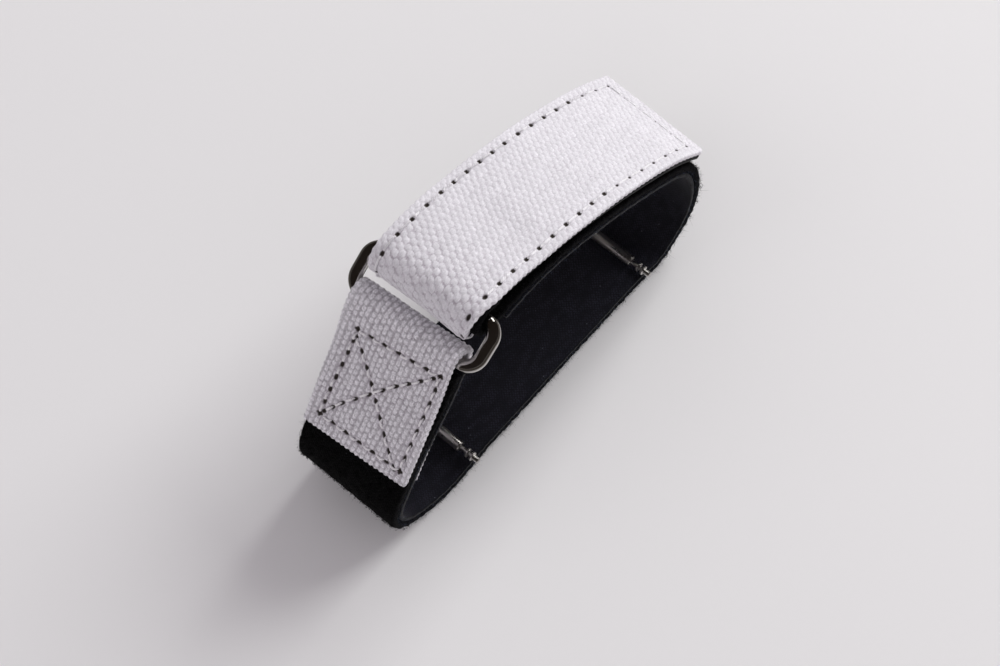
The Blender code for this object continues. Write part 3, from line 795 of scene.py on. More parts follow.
class Effects:
    """The node groups that more than one finish uses."""

    def __init__(self) -> None:
        """Build each group once."""
        self.weave = self.plain_weave()
        self.fibre = self.fibres()
        self.stitches = self.stitch_row()
        self.lint = self.lint_specks()

    def woven(self, graph: Graph, place: Socket, weave: Weave) -> bpy.types.Node:
        """Return the weave group, placed in a material with one weave's values."""
        keys = ("Along", "Across", "Skew", "Slant", "Length", "Breadth", "Stray")
        values = {key: getattr(weave, key.lower()) for key in keys}
        return graph.group(self.weave, place, Fray=0.24 * weave.across, **values)

    @staticmethod
    def plain_weave() -> bpy.types.NodeTree:
        """Return the group of a plain weave: its height, its pits for painted shade and a tone for each crossing."""
        inputs = {"Along": 1.2, "Across": 1.0, "Skew": 0.0, "Slant": 0.1, "Length": 0.46, "Breadth": 0.6,
                  "Stray": 0.12, "Fray": 0.2}
        graph, into, out = group_tree("plain weave", inputs, ("Height", "Pit", "Tone"))
        fine = graph.add("TexNoise", {"Vector": into["Place"], "Scale": 5.5, "Detail": 2.0}).outputs["Color"]
        frayed = graph.vector("SCALE", graph.vector("SUBTRACT", fine, (0.5, 0.5, 0.5)), Scale=into["Fray"])
        u, v, _ = graph.split(graph.vector("ADD", into["Place"], frayed))
        steps = graph.math("DIVIDE", graph.math("SUBTRACT", u, graph.product(into["Skew"], v)), into["Along"])
        pair = graph.product(into["Across"], 2.0)
        best, tone, middle = 0.0, 0.0, 1.0
        for shift in (0.0, 0.5):
            run = graph.math("ADD", steps, shift)
            row = graph.math("ADD", graph.math("DIVIDE", v, pair), shift)
            i, j = graph.math("ROUND", run), graph.math("ROUND", row)
            luck, stray = graph.uneven(i, j, shift, *LUCK), graph.uneven(i, j, shift, *STRAY)
            db = graph.product(graph.math("SUBTRACT", row, j), pair)
            db = graph.math("SUBTRACT", db, graph.product(stray, into["Stray"], into["Across"]))
            da = graph.product(graph.math("SUBTRACT", run, i), into["Along"])
            da = graph.math("SUBTRACT", da, graph.product(luck, into["Stray"], into["Along"]))
            da = graph.math("SUBTRACT", da, graph.product(into["Slant"], db))
            long, wide = (graph.math("ABSOLUTE", graph.math("DIVIDE", d, graph.product(into[half], into[step])))
                          for d, half, step in ((da, "Length", "Along"), (db, "Breadth", "Across")))
            bulk = graph.math("ADD", graph.math("POWER", long, DOME), graph.math("POWER", wide, DOME))
            dome = graph.math("SUBTRACT", 1.0, bulk)
            chance = graph.math("MULTIPLY_ADD", graph.math("ADD", luck, stray), 0.25, 0.5)
            first = graph.math("GREATER_THAN", dome, best) if shift else 1.0
            tone = graph.math("MULTIPLY_ADD", first, graph.math("SUBTRACT", chance, tone), tone)
            middle = graph.math("MULTIPLY_ADD", first, graph.math("SUBTRACT", wide, middle), middle)
            best = graph.math("MAXIMUM", best, dome) if shift else dome
        cleft = graph.product(graph.fit(middle, 0.22, 0.0), 0.3)
        height = graph.math("SUBTRACT", graph.math("MAXIMUM", best, 0.0), cleft)
        # How strong the pits' painted shade is varies at random.
        pit_shade_strength = graph.fit(graph.noise(into["Place"], 1.1), 0.35, 0.65, 0.35, 1.0)
        graph.join(height, out["Height"])
        graph.join(graph.product(graph.fit(height, 0.42, -0.1), pit_shade_strength), out["Pit"])
        graph.join(tone, out["Tone"])
        return graph.tree

    @staticmethod
    def fibres() -> bpy.types.NodeTree:
        """Return the group that draws spun fibres: fine streaks that run askew, and slow slubs."""
        graph, into, out = group_tree("spun fibres", {}, ("Streak", "Slub"))
        place = into["Place"]
        graph.join(graph.noise(graph.stretched(place, (2.2, 11.0, 1.0), 0.5), 1.0, 3.0, 0.6), out["Streak"])
        graph.join(graph.noise(graph.stretched(place, (0.35, 1.0, 1.0)), 1.0), out["Slub"])
        return graph.tree

    @staticmethod
    def stitch_row() -> bpy.types.NodeTree:
        """Return the group that marks a row of stitches: its holes and the groove that it draws."""
        inputs = {"Start": None, "End": None, "Count": 8.0, "Long": 0.3, "Wide": 0.24, "Reach": 0.42}
        graph, into, out = group_tree("stitch row", inputs, ("Hole", "Groove"))
        span, gone = (graph.vector("SUBTRACT", into[key], into["Start"]) for key in ("End", "Place"))
        length, far = graph.vector("LENGTH", span), graph.vector("LENGTH", gone)
        run = graph.vector("DOT_PRODUCT", gone, graph.vector("NORMALIZE", span))
        square = graph.math("SUBTRACT", graph.product(far, far), graph.product(run, run))
        off = graph.math("SQRT", graph.math("MAXIMUM", square, 0.0))
        step = graph.math("DIVIDE", length, into["Count"])
        nearest = graph.math("MAXIMUM", graph.math("ROUND", graph.math("DIVIDE", run, step)), 0.0)
        gap = graph.math("SUBTRACT", run, graph.product(graph.math("MINIMUM", nearest, into["Count"]), step))
        down, over = graph.math("DIVIDE", gap, into["Long"]), graph.math("DIVIDE", off, into["Wide"])
        graph.join(graph.fit(graph.math("MULTIPLY_ADD", down, down, graph.product(over, over)), 1.7, 0.5), out["Hole"])
        past = graph.math("MAXIMUM", graph.math("SUBTRACT", run, length), graph.product(run, -1.0))
        graph.join(graph.fit(graph.math("MAXIMUM", off, past), into["Reach"], 0.1), out["Groove"])
        return graph.tree

    @staticmethod
    def lint_specks() -> bpy.types.NodeTree:
        """Return the group that marks a few pale specks of lint."""
        graph, into, out = group_tree("lint specks", {"Scale": 1.4, "Share": 0.03}, ("Speck",))
        cells = graph.add("TexVoronoi", {"Vector": into["Place"], "Scale": into["Scale"]}, feature="F1").outputs
        chance = graph.add("SeparateColor", {0: cells["Color"]}).outputs[0]
        chosen = graph.math("LESS_THAN", chance, into["Share"])
        graph.join(graph.product(graph.fit(cells["Distance"], 0.20, 0.06), chosen), out["Speck"])
        return graph.tree


class Surface(Graph):
    """A new material's graph."""

    def __init__(self, name: str) -> None:
        """Start the material under a name."""
        self.material = bpy.data.materials.new(name)
        self.material.use_nodes = True
        super().__init__(self.material.node_tree)
        self.shader = self.tree.nodes["Principled BSDF"]

    def close(self, colour: Socket, height: Socket | None = None, bump: Pair = (0.0, 0.0),
              **values: float) -> bpy.types.Material:
        """Feed the shader.

        Args:
            colour: its base colour.
            height: the height that its bump shows.
            bump: the bump's strength and distance.
            values: constants for the shader's own sockets, by their names with _ for a space.

        Returns:
            The material.
        """
        self.join(colour, self.shader.inputs["Base Color"])
        if height:
            node = self.add("Bump", {"Strength": bump[0], "Distance": bump[1], "Height": height})
            self.join(node.outputs[0], self.shader.inputs["Normal"])
        for key, value in values.items():
            self.shader.inputs[key.replace("_", " ")].default_value = value
        return self.material


@dataclass(frozen=True)
class CanvasFinish:
    """White plain-weave cotton canvas, with painted shade in its weave's pits, in its seams' needle holes and along the
    grooves that they draw in.

    Fold is how far along, in millimetres, the weave stops being opened by the fold, which deepens the painted shade in
    its pits.
    """

    name: str
    weave: Weave
    half: float
    crest: Triple = (0.74, 0.725, 0.76)
    # Painted shade: the weave's pits and the seams' grooves darken towards this colour.
    painted_shade_colour: Triple = (0.36, 0.31, 0.36)
    # Painted shade inside the needle holes.
    hole: Triple = (0.035, 0.028, 0.024)
    # How strong the painted shade in the weave's pits is.
    pit_shade_strength: float = 0.34
    grain: float = 0.08
    # How far a seam's painted shade reaches from it, in millimetres, and how strong it is.
    groove: Pair = (0.42, 0.20)
    # How much painted highlight the crowns' tops get, with painted shade lower down.
    crown: float = 0.0
    fold: float | None = None
    fold_fade: float = 9.0

    def material(self, effects: Effects, rows: list[Row]) -> bpy.types.Material:
        """Make the finish.

        Args:
            effects: the shared node groups.
            rows: the rows of stitches that go through the cloth.

        Returns:
            The material.
        """
        graph = Surface(self.name)
        place = graph.flat_place()
        weave = effects.woven(graph, place, self.weave).outputs
        fibre = graph.group(effects.fibre, place).outputs
        holes = grooves = 0.0
        for row in rows:
            start, end = ((x / MM, y / MM, 0.0) for x, y in (row.start, row.end))
            stitch = graph.group(effects.stitches, place, Start=start, End=end, Count=row.count, Reach=self.groove[0],
                                 Long=row.hole[0] / MM, Wide=row.hole[1] / MM).outputs
            holes = graph.math("MAXIMUM", holes, stitch["Hole"])
            grooves = graph.math("MAXIMUM", grooves, stitch["Groove"])
        down, over, _ = graph.split(place)
        # Painted shade in the weave's pits: weaker near the rims, where the cloth rolls over, and deeper before the
        # fold.
        rolled = graph.fit(graph.math("ABSOLUTE", over), self.half - 0.9, self.half - 0.1, 1.0, 0.25)
        pit_shade = graph.product(weave["Pit"], self.pit_shade_strength, rolled)
        if self.fold is not None:
            pit_shade = graph.product(pit_shade, graph.fit(down, self.fold, self.fold + self.fold_fade, 2.1, 1.0))
        colour = graph.mix(pit_shade, self.crest, self.painted_shade_colour)
        grain = graph.noise(graph.stretched(place, (4.2, 3.0, 1.0), 0.9), 1.0, 3.0, 0.75)
        # The weave's tone varies at random and with its fibres; the second factor is a painted highlight on the crowns'
        # tops, with painted shade lower down.
        shade = graph.product(
            graph.math("MULTIPLY_ADD", weave["Tone"], 0.08, 0.93),
            graph.fit(weave["Height"], 0.25, 0.9, 1.0 - 0.5 * self.crown, 1.0 + 0.7 * self.crown),
            graph.fit(grain, 0.28, 0.72, 1.0 - self.grain, 1.0 + 0.6 * self.grain),
            graph.fit(fibre["Streak"], 0.25, 0.7, 0.90, 1.04),
            graph.fit(fibre["Slub"], 0.3, 0.7, 0.96, 1.02),
        )
        grey = graph.add("CombineColor", {0: shade, 1: shade, 2: shade}).outputs[0]
        colour = graph.mix(1.0, colour, grey, "MULTIPLY")
        # Painted shade along the grooves that the seams draw in.
        colour = graph.mix(graph.product(grooves, self.groove[1]), colour, self.painted_shade_colour)
        # Painted shade inside the needle holes.
        colour = graph.mix(holes, colour, self.hole)
        height = graph.math("MULTIPLY_ADD", fibre["Streak"], 0.8, graph.product(weave["Height"], 0.6))
        return graph.close(colour, height, (0.6, 0.00010), Roughness=0.86, Specular_IOR_Level=0.25,
                           Sheen_Weight=0.15, Sheen_Roughness=0.5)


@dataclass(frozen=True)
class TapeFinish:
    """A dark woven tape: its ground weave, painted highlight on raised yarns, a soft sheen, lint specks and painted
    shade on its rim.
    """

    name: str
    weave: Weave
    colour: Triple
    # Painted highlight: the raised yarns lighten towards this colour.
    light: Triple
    roughness: float = 0.8
    sheen: float = 0.1
    relief: float = 0.00006
    half: float = 10.0
    # Painted shade on the tape's rims.
    rim: Triple = (0.0025, 0.0025, 0.004)
    speck: Triple = (0.16, 0.17, 0.20)

    def material(self, effects: Effects) -> bpy.types.Material:
        """Make the finish with the shared node groups, and return the material."""
        graph = Surface(self.name)
        place = graph.flat_place()
        height = effects.woven(graph, place, self.weave).outputs["Height"]
        fibre = graph.group(effects.fibre, place).outputs
        speck = graph.group(effects.lint, place).outputs[0]
        # Painted highlight on the raised yarns.
        lift = graph.product(height, graph.fit(fibre["Slub"], 0.3, 0.7, 0.6, 1.0))
        colour = graph.mix(graph.fit(lift, 0.35, 0.95), self.colour, self.light)
        colour = graph.mix(graph.product(speck, 0.5), colour, self.speck)
        # Painted shade on the rims.
        reach = graph.math("ABSOLUTE", graph.split(place)[1])
        colour = graph.mix(graph.fit(reach, self.half - 0.25, self.half, 0.0, 0.85), colour, self.rim)
        height = graph.math("MULTIPLY_ADD", fibre["Streak"], 0.5, height)
        return graph.close(colour, height, (0.9, self.relief), Roughness=self.roughness, Specular_IOR_Level=0.2,
                           Sheen_Weight=self.sheen, Sheen_Roughness=0.4)


@dataclass(frozen=True)
class FuzzFinish:
    """Fine fibres that have worked loose: their tone changes from one to the next."""

    name: str
    dark: Triple
    light: Triple

    def material(self) -> bpy.types.Material:
        """Make the finish and return the material."""
        graph = Surface(self.name)
        place = graph.add("TexCoord").outputs["Object"]
        colour = graph.mix(graph.fit(graph.noise(place, 1900.0), 0.42, 0.68), self.dark, self.light)
        return graph.close(colour, Roughness=0.7, Specular_IOR_Level=0.3)


@dataclass(frozen=True)
class ThreadFinish:
    """Three-strand sewing thread: the twist shows in its bump and in painted shade between its strands. Turn is one
    strand's, in millimetres.
    """

    name: str
    colour: Triple
    turn: float = 1.3
    shade: float = 0.85

    def material(self, effects: Effects) -> bpy.types.Material:
        """Make the finish with the shared node groups, and return the material."""
        graph = Surface(self.name)
        place = graph.flat_place()
        along, around, _ = graph.split(place)
        phase = graph.math("ADD", graph.math("DIVIDE", along, self.turn), around)
        strand = graph.math("ABSOLUTE", graph.math("SINE", graph.product(phase, 3 * math.pi)))
        # Painted shade between the strands.
        colour = graph.mix(graph.fit(strand, 0.0, 0.5), tuple(self.shade * c for c in self.colour), self.colour)
        height = graph.math("MULTIPLY_ADD", graph.group(effects.fibre, place).outputs["Streak"], 0.2, strand)
        return graph.close(colour, height, (0.8, 0.00006), Roughness=0.45, Specular_IOR_Level=0.45, Sheen_Weight=0.1)


@dataclass(frozen=True)
class SteelFinish:
    """Stainless steel: bright, with fine rubbing marks that change its gloss."""

    name: str
    roughness: float
    marks: float
    colour: Triple = (0.62, 0.60, 0.575)

    def material(self) -> bpy.types.Material:
        """Make the finish and return the material."""
        graph = Surface(self.name)
        place = graph.add("TexCoord").outputs["Object"]
        fine = graph.noise(graph.stretched(place, (2600.0, 420.0, 2600.0)), 1.0, 3.0, 0.6)
        slow = graph.noise(place, 380.0)
        rough = graph.math("MULTIPLY_ADD", graph.product(fine, slow), self.marks, self.roughness)
        graph.join(rough, graph.shader.inputs["Roughness"])
        colour = graph.mix(slow, tuple(0.92 * c for c in self.colour), self.colour)
        return graph.close(colour, fine, (0.15, 0.00002), Metallic=1.0)


# ---------------------------------------------------------------- the strap's parts


@dataclass
class Part:
    """What every part of the strap needs: the line, its stations and the shared effects."""

    line: PlyLine
    marks: dict[str, float]
    effects: Effects

    def finish(self, item: bpy.types.Object, material: bpy.types.Material, slot: str, body: str | None,
               *nodes: str) -> None:
        """Dress a piece, put it on its body and hide the model's nodes that it replaces.

        Args:
            item: the piece.
            material: its material.
            slot: the record's material slot; not used.
            body: the body that it rides on, or None, which leaves it on no body.
            nodes: the model's nodes that it replaces.
        """
        item.data.materials.clear()
        item.data.materials.append(material)
        if body:
            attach(item, body)
        if nodes:
            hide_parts(*nodes)
        log.info("%s: %d faces on %s", item.name, len(item.data.polygons), body or "two bodies")


@dataclass
class CanvasPart(Part):
    """A canvas part: its cloth's sizes and how its weave and its seams shape it.

    Relief is the weave's height, and rim_relief its share at the rims. Puff, groove and hole_depth are how far
    the cloth sinks widely round a row, in its groove and in a hole.
    """

    width: float = 0.0202
    thickness: float = 0.0010
    gap: float = 0.0002
    relief: float = 0.000085
    unevenness: float = 0.15
    rim_relief: float = 0.4
    rim_width: float = 0.0008
    puff: float = 0.00003
    groove: float = 0.00004
    hole_depth: float = 0.00042
    swell: float = 0.00006
    rim_wave: float = 0.00007
    fray: float = 0.00011
    fray_length: float = 0.0005
    cell: Pair = (0.00015, 0.0002)
    rim: float = 0.0003
    corner: float = 0.0005

    def shape(self, flat: np.ndarray, from_rim: np.ndarray, weave: Weave, rows: list[Row], strip: Strip) -> np.ndarray:
        """Return a flat canvas strip with its weave, its seams and its wavy rims.

        Args:
            flat: the strip's vertices, flat.
            from_rim: how far each is from the nearer rim.
            weave: its weave.
            rows: the rows of stitches through it.
            strip: the strip, whose lower face is the exposed one.

        Returns:
            The shaped vertices, still flat.
        """
        along, across = flat[:, 0], flat[:, 1]
        u, v = along / MM, across / MM
        height, luck = weave.relief(u, v)
        wave = np.sin(5.3 * u + 2.1 * np.sin(4.1 * v)) * np.sin(6.7 * v + 1.7 * np.sin(3.7 * u))
        height = height + self.unevenness * wave
        edge = np.clip(from_rim / self.rim_width, 0.0, 1.0)
        draw, dent, hole = np.max([row.pull(along, across) for row in rows], axis=0)
        share = (self.rim_relief + (1.0 - self.rim_relief) * edge) * (1.0 - 0.35 * draw)
        sink = self.relief * (height - 0.7) * (0.6 + 0.8 * luck) * share
        sink = sink - self.puff * dent - self.groove * draw - self.hole_depth * hole
        sink = sink + self.swell * np.sin(u * 0.37 + 1.1) * np.cos(v * 0.31 + 0.4)
        shaped = flat.copy()
        shaped[:, 2] -= np.where(flat[:, 2] < (strip.low + strip.high) / 2, sink, 0.0)
        shaped[:, 1] += np.sign(across) * self.rim_wave * np.sin(2 * math.pi * u / weave.along + 0.4) * (1.0 - edge)
        first, last = along - strip.start, strip.end - along
        fray = np.clip(1.0 - np.minimum(first, last) / self.fray_length, 0.0, 1.0) * self.fray
        shaped[:, 0] += np.where(first < last, -1.0, 1.0) * fray * np.sin(2 * math.pi * v / weave.across + 0.5)
        return shaped


@dataclass(frozen=True)
class Hooks:
    """The field of hooks on the hook tape: rows of bent pegs.

    Pitch is from row to row and from column to column. Reach and rise are a hook's profile, as shares of its
    length and millimetres.
    """

    pitch: Pair = (0.0011, 0.00112)
    columns: int = 14
    first: Pair = (0.0030, -0.0073)
    margin: float = 0.005
    thick: float = 0.00007
    jitter: float = 0.00008
    rings: int = 7
    reach: Stops = ((0.0, 0.0), (0.5, 0.02), (0.75, 0.22), (1.0, 0.33))
    rise: Stops = ((0.0, 0.0), (0.5, 0.52), (0.75, 0.62), (1.0, 0.42))

    def grow(self, name: str, line: PlyLine, start: float, end: float, face: float, drift: Drift) -> bpy.types.Object:
        """Grow the hooks.

        Args:
            name: the piece's name.
            line: the line that the tape follows.
            start: where the tape starts along it.
            end: where the tape ends.
            face: how far out the tape's face is.
            drift: how the tape lies to one side.

        Returns:
            The piece.
        """
        rng = np.random.default_rng(11)
        count = int((end - start - self.margin) / self.pitch[0]) * self.columns
        mesh, which, share, angle = many_tubes(name, count, self.rings)
        row, column = which // self.columns, which % self.columns
        reach, rise = (np.interp(share, *np.array(stops).T) * MM for stops in (self.reach, self.rise))
        turn = rng.uniform(-0.35, 0.35, count) + np.where(np.arange(count) % 2 == 0, 0.0, math.pi)
        cos, sin = np.cos(turn)[which], np.sin(turn)[which]
        bent = share > 0.6
        over = reach + self.thick * np.cos(angle) * np.where(bent, 0.3, 1.0)
        wide = self.thick * np.sin(angle)
        jitter = rng.normal(0.0, self.jitter, (count, 2))[which]
        down = start + self.first[0] + (row + (column % 2) * 0.5) * self.pitch[0]
        flat = np.column_stack([
            down + cos * over - sin * wide + jitter[:, 0],
            self.first[1] + column * self.pitch[1] + sin * over + cos * wide + jitter[:, 1],
            face + rise + self.thick * np.cos(angle) * bent,
        ])
        move_to(mesh, line.wrap(drift.move(flat)))
        settle(mesh)
        return link(name, mesh)


@dataclass
class Tail(CanvasPart):
    """The tail: canvas that wraps the fold round the ring and lies on the band, with hook tape under it.

    Sway and tape_sway are pairs of (how far back from the free end, how far to the side), in millimetres.
    """

    weave: Weave = Weave(1.13, 1.0, 0.09, 0.15, 0.45, 0.60, 0.09)
    pitch: float = 0.00295
    start_back: float = 0.0012
    start_inset: float = 0.0010
    end_inset: float = 0.0026
    hook_width: float = 0.0200
    hook_thickness: float = 0.0009
    hook_overhang: float = 0.0004
    thread_rise: float = 0.00003
    needle_sink: float = 0.00009
    bobbin_sink: float = 0.00018
    blend_reach: float = 0.0011
    blend_lean: float = 0.8
    droop: float = 0.0008
    swells: Pair = (0.50, 0.22)
    sway: Stops = ((60.0, 0.15), (52.0, 0.35), (44.0, 0.45), (30.0, 0.05), (13.0, 0.0), (0.0, -0.5))
    tape_sway: Stops = ((62.0, 0.25), (52.0, 0.60), (40.0, 0.60), (28.0, 0.20), (13.0, 0.0), (0.0, -0.3))
    pinch: Stops = ((-1.2, 3.2), (2.0, 2.6), (4.5, 1.5), (8.0, 0.7), (12.0, 0.0))

    def rows(self) -> list[Row]:
        """Return the rows of stitches round the tail, from the fold's near side to its far side."""
        first, last = self.marks["loop_end"] - self.start_inset, self.line.length - self.end_inset
        corners = [(first, -0.0081), (last - 0.0220, -0.0080), (last, -0.0086), (last + 0.0002, 0.0076),
                   (last - 0.0100, 0.0084), (last - 0.0260, 0.0085), (last - 0.0400, 0.0089), (first, 0.0085)]
        large, small, least = (0.00042, 0.00033), (0.00027, 0.00020), (0.00016, 0.00012)
        holes = (large, small, least, small, large, large, large)
        return [Row(*ends, self.pitch, hole) for ends, hole in zip(zip(corners, corners[1:]), holes)]

    def drift(self, sway: Stops = ((0.0, 0.0),), pinch: Stops = ((0.0, 0.0),)) -> Drift:
        """Return how a ply of the tail lies to one side, and droops past the band at its free end."""
        length, turn = self.line.length / MM, self.marks["loop_end"] / MM
        return Drift(tuple((length - back, shift) for back, shift in sway),
                     tuple((turn + past, shift) for past, shift in pinch), droop=self.droop,
                     droop_start=self.line.length - Drift.droop_length)

    def bend(self, item: bpy.types.Object) -> None:
        """Bake a piece's transform into its mesh. The place where the tail lifts and the line's way there are found,
        but the piece is not bent.
        """
        where = self.marks["peel"]
        peel = self.line.wrap(np.array([[where, 0.0, -self.gap - self.thickness]]))[0]
        way = self.line.at(np.array([where]))[1][0]
        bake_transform(item)

    def build(self) -> None:
        """Make the canvas."""
        turn = self.marks["loop_end"]
        start, end = turn - self.start_back, self.line.length
        strip = Strip("tail_cloth", self.line, start, end, self.width, -self.gap - self.thickness, -self.gap,
                      self.cell, self.rim, self.corner)
        data, square = strip.cut(self.drift(self.sway, self.pinch).move)
        rows = self.rows()
        flat = self.shape(places(data), self.width / 2 - np.abs(square[:, 1]), self.weave, rows, strip)
        full = np.interp(flat[:, 0], (turn - 0.001, turn + 0.004, turn + 0.009, turn + 0.014), (0.0, 1.0, 1.0, 0.0))
        swell = np.where(flat[:, 1] < 0.0, *self.swells) * flat[:, 1] / HALF_WIDTH
        flat[:, 2] = strip.high - (strip.high - flat[:, 2]) * (1.0 - full * swell)
        cloth = strip.wrap(data, flat)
        finish = CanvasFinish("tail_canvas", self.weave, self.width / MM / 2, grain=0.15,
                              fold=self.marks["fold_end"] / MM - 1.0)
        self.finish(cloth, finish.material(self.effects, rows), "canvas", None, "fold_canvas", "tail_canvas")
        self.bend(cloth)

    def sew(self, thread: bpy.types.Material) -> None:
        """Sew the seam with a thread's material: a needle thread on the canvas, a bobbin thread on the hook tape."""
        rows, droop = self.rows(), self.drift()
        seam = Seam(rows, -self.gap - self.thickness + self.needle_sink, -1.0, self.thread_rise)
        needle = seam.sew("tail_needle_thread", self.line, droop)
        self.finish(needle, thread, "thread", None, "tail_thread", "fold_thread_near", "fold_thread_far")
        self.bend(needle)
        first = self.marks["peel"] + 0.0013
        below = [Row((first, rows[0].start[1]), rows[0].end, self.pitch), *rows[1:-1],
                 Row(rows[-1].start, (first, rows[-1].end[1]), self.pitch)]
        seam = Seam(below, self.hook_thickness - self.bobbin_sink, 1.0, self.thread_rise)
        self.finish(seam.sew("tail_bobbin_thread", self.line, droop), thread, "thread", "tail", "tail_bobbin")

    def back(self, tape: bpy.types.Material) -> None:
        """Make the hook tape and its rows of hooks, of one material."""
        start, end = self.marks["peel"] + 0.00015, self.line.length + self.hook_overhang
        strip = Strip("hook_tape", self.line, start, end, self.hook_width, 0.0, self.hook_thickness,
                      (0.0005, 0.0005), 0.00025, 0.0006)
        drift = self.drift(self.tape_sway)
        data, _ = strip.cut(drift.move)
        item = strip.wrap(data, places(data))
        self.finish(item, tape, "hook", "tail", "tail_hook_tape")
        hooks = Hooks().grow("tail_hooks", self.line, start, end, self.hook_thickness - 0.00005, drift)
        self.finish(hooks, tape, "hook", "tail")


@dataclass
class Tab(CanvasPart):
    """The tab: canvas folded round the ring's lower bar and sewn through the band with a box and a cross.

    Box, slope and bend are places on the outer leaf, as (how far from the ring, across): the box's corners,
    the straight diagonal's ends and the bent diagonal's inner places.
    """

    lower: np.ndarray = field(default_factory=lambda: np.zeros(2))
    angle: float = math.radians(229.0)
    radius: float = 0.0015
    tape_middle: float = 0.0003
    outer_length: float = 0.0236
    inner_length: float = 0.0246
    weave: Weave = Weave(1.06, 0.95, -0.03, 0.06, 0.60, 0.45, 0.12)
    relief: float = 0.00024
    puff: float = 0.00016
    groove: float = 0.00008
    rim_relief: float = 0.1
    pitch: float = 0.0027
    hole: Pair = (0.00058, 0.00032)
    pull: Stops = (
        (0.0, -1.2), (0.14, -1.2), (0.20, -0.5), (0.25, 0.9), (0.32, 1.9), (0.42, 2.0), (0.52, 1.2), (0.60, 0.0),
        (0.66, -0.6), (0.76, -0.9), (0.86, -1.1), (0.94, -1.2),
    )
    box: Stops = ((0.0027, -0.0080), (0.0214, -0.0084), (0.0224, 0.0076), (0.0046, 0.0073))
    slope: tuple[Pair, Pair] = ((0.0059, 0.0071), (0.0216, -0.0073))
    bend: tuple[Pair, Pair] = ((0.0092, -0.0020), (0.0180, 0.0048))
    crossing: Pair = (0.0129, 0.0007)
    end_extra: float = 0.0007
    end_skew: float = 0.095
    inner_share: float = 0.6
    fold_thinning: Pair = (0.08, 0.25)
    sway: Stops = ((0.0, -0.2), (6.0, -0.05), (23.6, 0.85), (32.0, 0.85), (54.0, 0.2))

    def own_line(self) -> PlyLine:
        """Return the tab's line: outer leaf towards the ring, half circle round its bar, inner leaf."""
        reach = self.radius + self.thickness / 2
        outer = self.line.stretch(0.0, self.outer_length, self.tape_middle + reach)[::-1]
        inner = self.line.stretch(0.0, self.inner_length, self.tape_middle - reach)
        return PlyLine(np.concatenate([outer, half_circle(self.lower, reach, self.angle - math.pi / 2, 30), inner]))

    def rows(self) -> list[Row]:
        """Return the box's four rows and the cross's, the straight diagonal first."""
        a, b, c, d = self.box
        path = [a, *self.bend, c]
        path[0] = tuple(p + (q - p) * 0.16 for p, q in zip(a, path[1]))
        path[-1] = tuple(p + (q - p) * 0.20 for p, q in zip(c, path[-2]))
        ends = [(a, b), (b, c), (c, d), (d, a), self.slope, *zip(path, path[1:])]
        return [Row(*pair, self.pitch, self.hole) for pair in ends]

    def skewed(self, flat: np.ndarray) -> np.ndarray:
        """Return the flat tab with its outer leaf cut askew: its far side is longer than its near side."""
        share = np.clip(1.0 - flat[:, 0] / self.outer_length, 0.0, 1.0)
        moved = flat.copy()
        moved[:, 0] -= (self.end_extra + self.end_skew * flat[:, 1]) * share
        return Drift(self.sway).move(moved)

    def build(self) -> None:
        """Make the tab's cloth."""
        line = self.own_line()
        half = self.thickness / 2
        strip = Strip("tab_cloth", line, 0.0, line.length, self.width, -half, half, self.cell, self.rim, self.corner)
        data, square = strip.cut(self.skewed)
        from_side = self.width / 2 - np.abs(square[:, 1])
        from_end = np.minimum(square[:, 0], line.length - square[:, 0])
        turn = line.length - self.inner_length
        rows = [replace(row, start=(base + way * row.start[0], row.start[1]), end=(base + way * row.end[0], row.end[1]))
                for row in self.rows() for base, way in ((self.outer_length, -1), (turn, 1))]
        flat = self.shape(places(data), np.minimum(from_side, from_end), self.weave, rows, strip)
        pressed = 1.0 - (1.0 - self.inner_share) * np.clip((flat[:, 0] - turn) / (3.0 * MM), 0.0, 1.0)
        folded = np.interp(flat[:, 0], (self.outer_length - 0.003, self.outer_length, turn, turn + 0.002),
                           (0.0, 1.0, 1.0, 0.0))
        thinned = self.fold_thinning[0] + self.fold_thinning[1] * flat[:, 1] / HALF_WIDTH
        flat[:, 2] = half - (half - flat[:, 2]) * (pressed - folded * thinned)
        cloth = strip.wrap(data, flat)
        # The tab's canvas gets deeper painted shade in its pits and along its seams than the tail's, and a painted
        # highlight on its crowns.
        finish = CanvasFinish("tab_canvas", self.weave, self.width / MM / 2, pit_shade_strength=0.58, grain=0.36,
                              groove=(1.1, 0.30), crown=0.26)
        self.finish(cloth, finish.material(self.effects, rows), "canvas", "band", "tab_canvas")

    def sew(self, thread: bpy.types.Material) -> None:
        """Sew the box and the cross through both leaves, with a thread's material."""
        rows = self.rows()
        for kind, word, side, share in (("thread", "needle", 1.0, 1.0), ("bobbin", "lower", -1.0, self.inner_share)):
            face = self.tape_middle + side * (self.radius + self.thickness * share - self.puff)
            seam = Seam(rows, face, side, profile=self.pull)
            for name, node, some, crossing in (
                (f"tab_box_{word}", f"tab_box_{kind}", rows[:4], None),
                (f"tab_cross_{word}_under", f"tab_cross_{kind}_under", rows[4:5], None),
                (f"tab_cross_{word}_over", f"tab_cross_{kind}_over", rows[5:], self.crossing),
            ):
                item = replace(seam, rows=some, crossing=crossing).sew(name, self.line)
                self.finish(item, thread, "thread", "band", node)


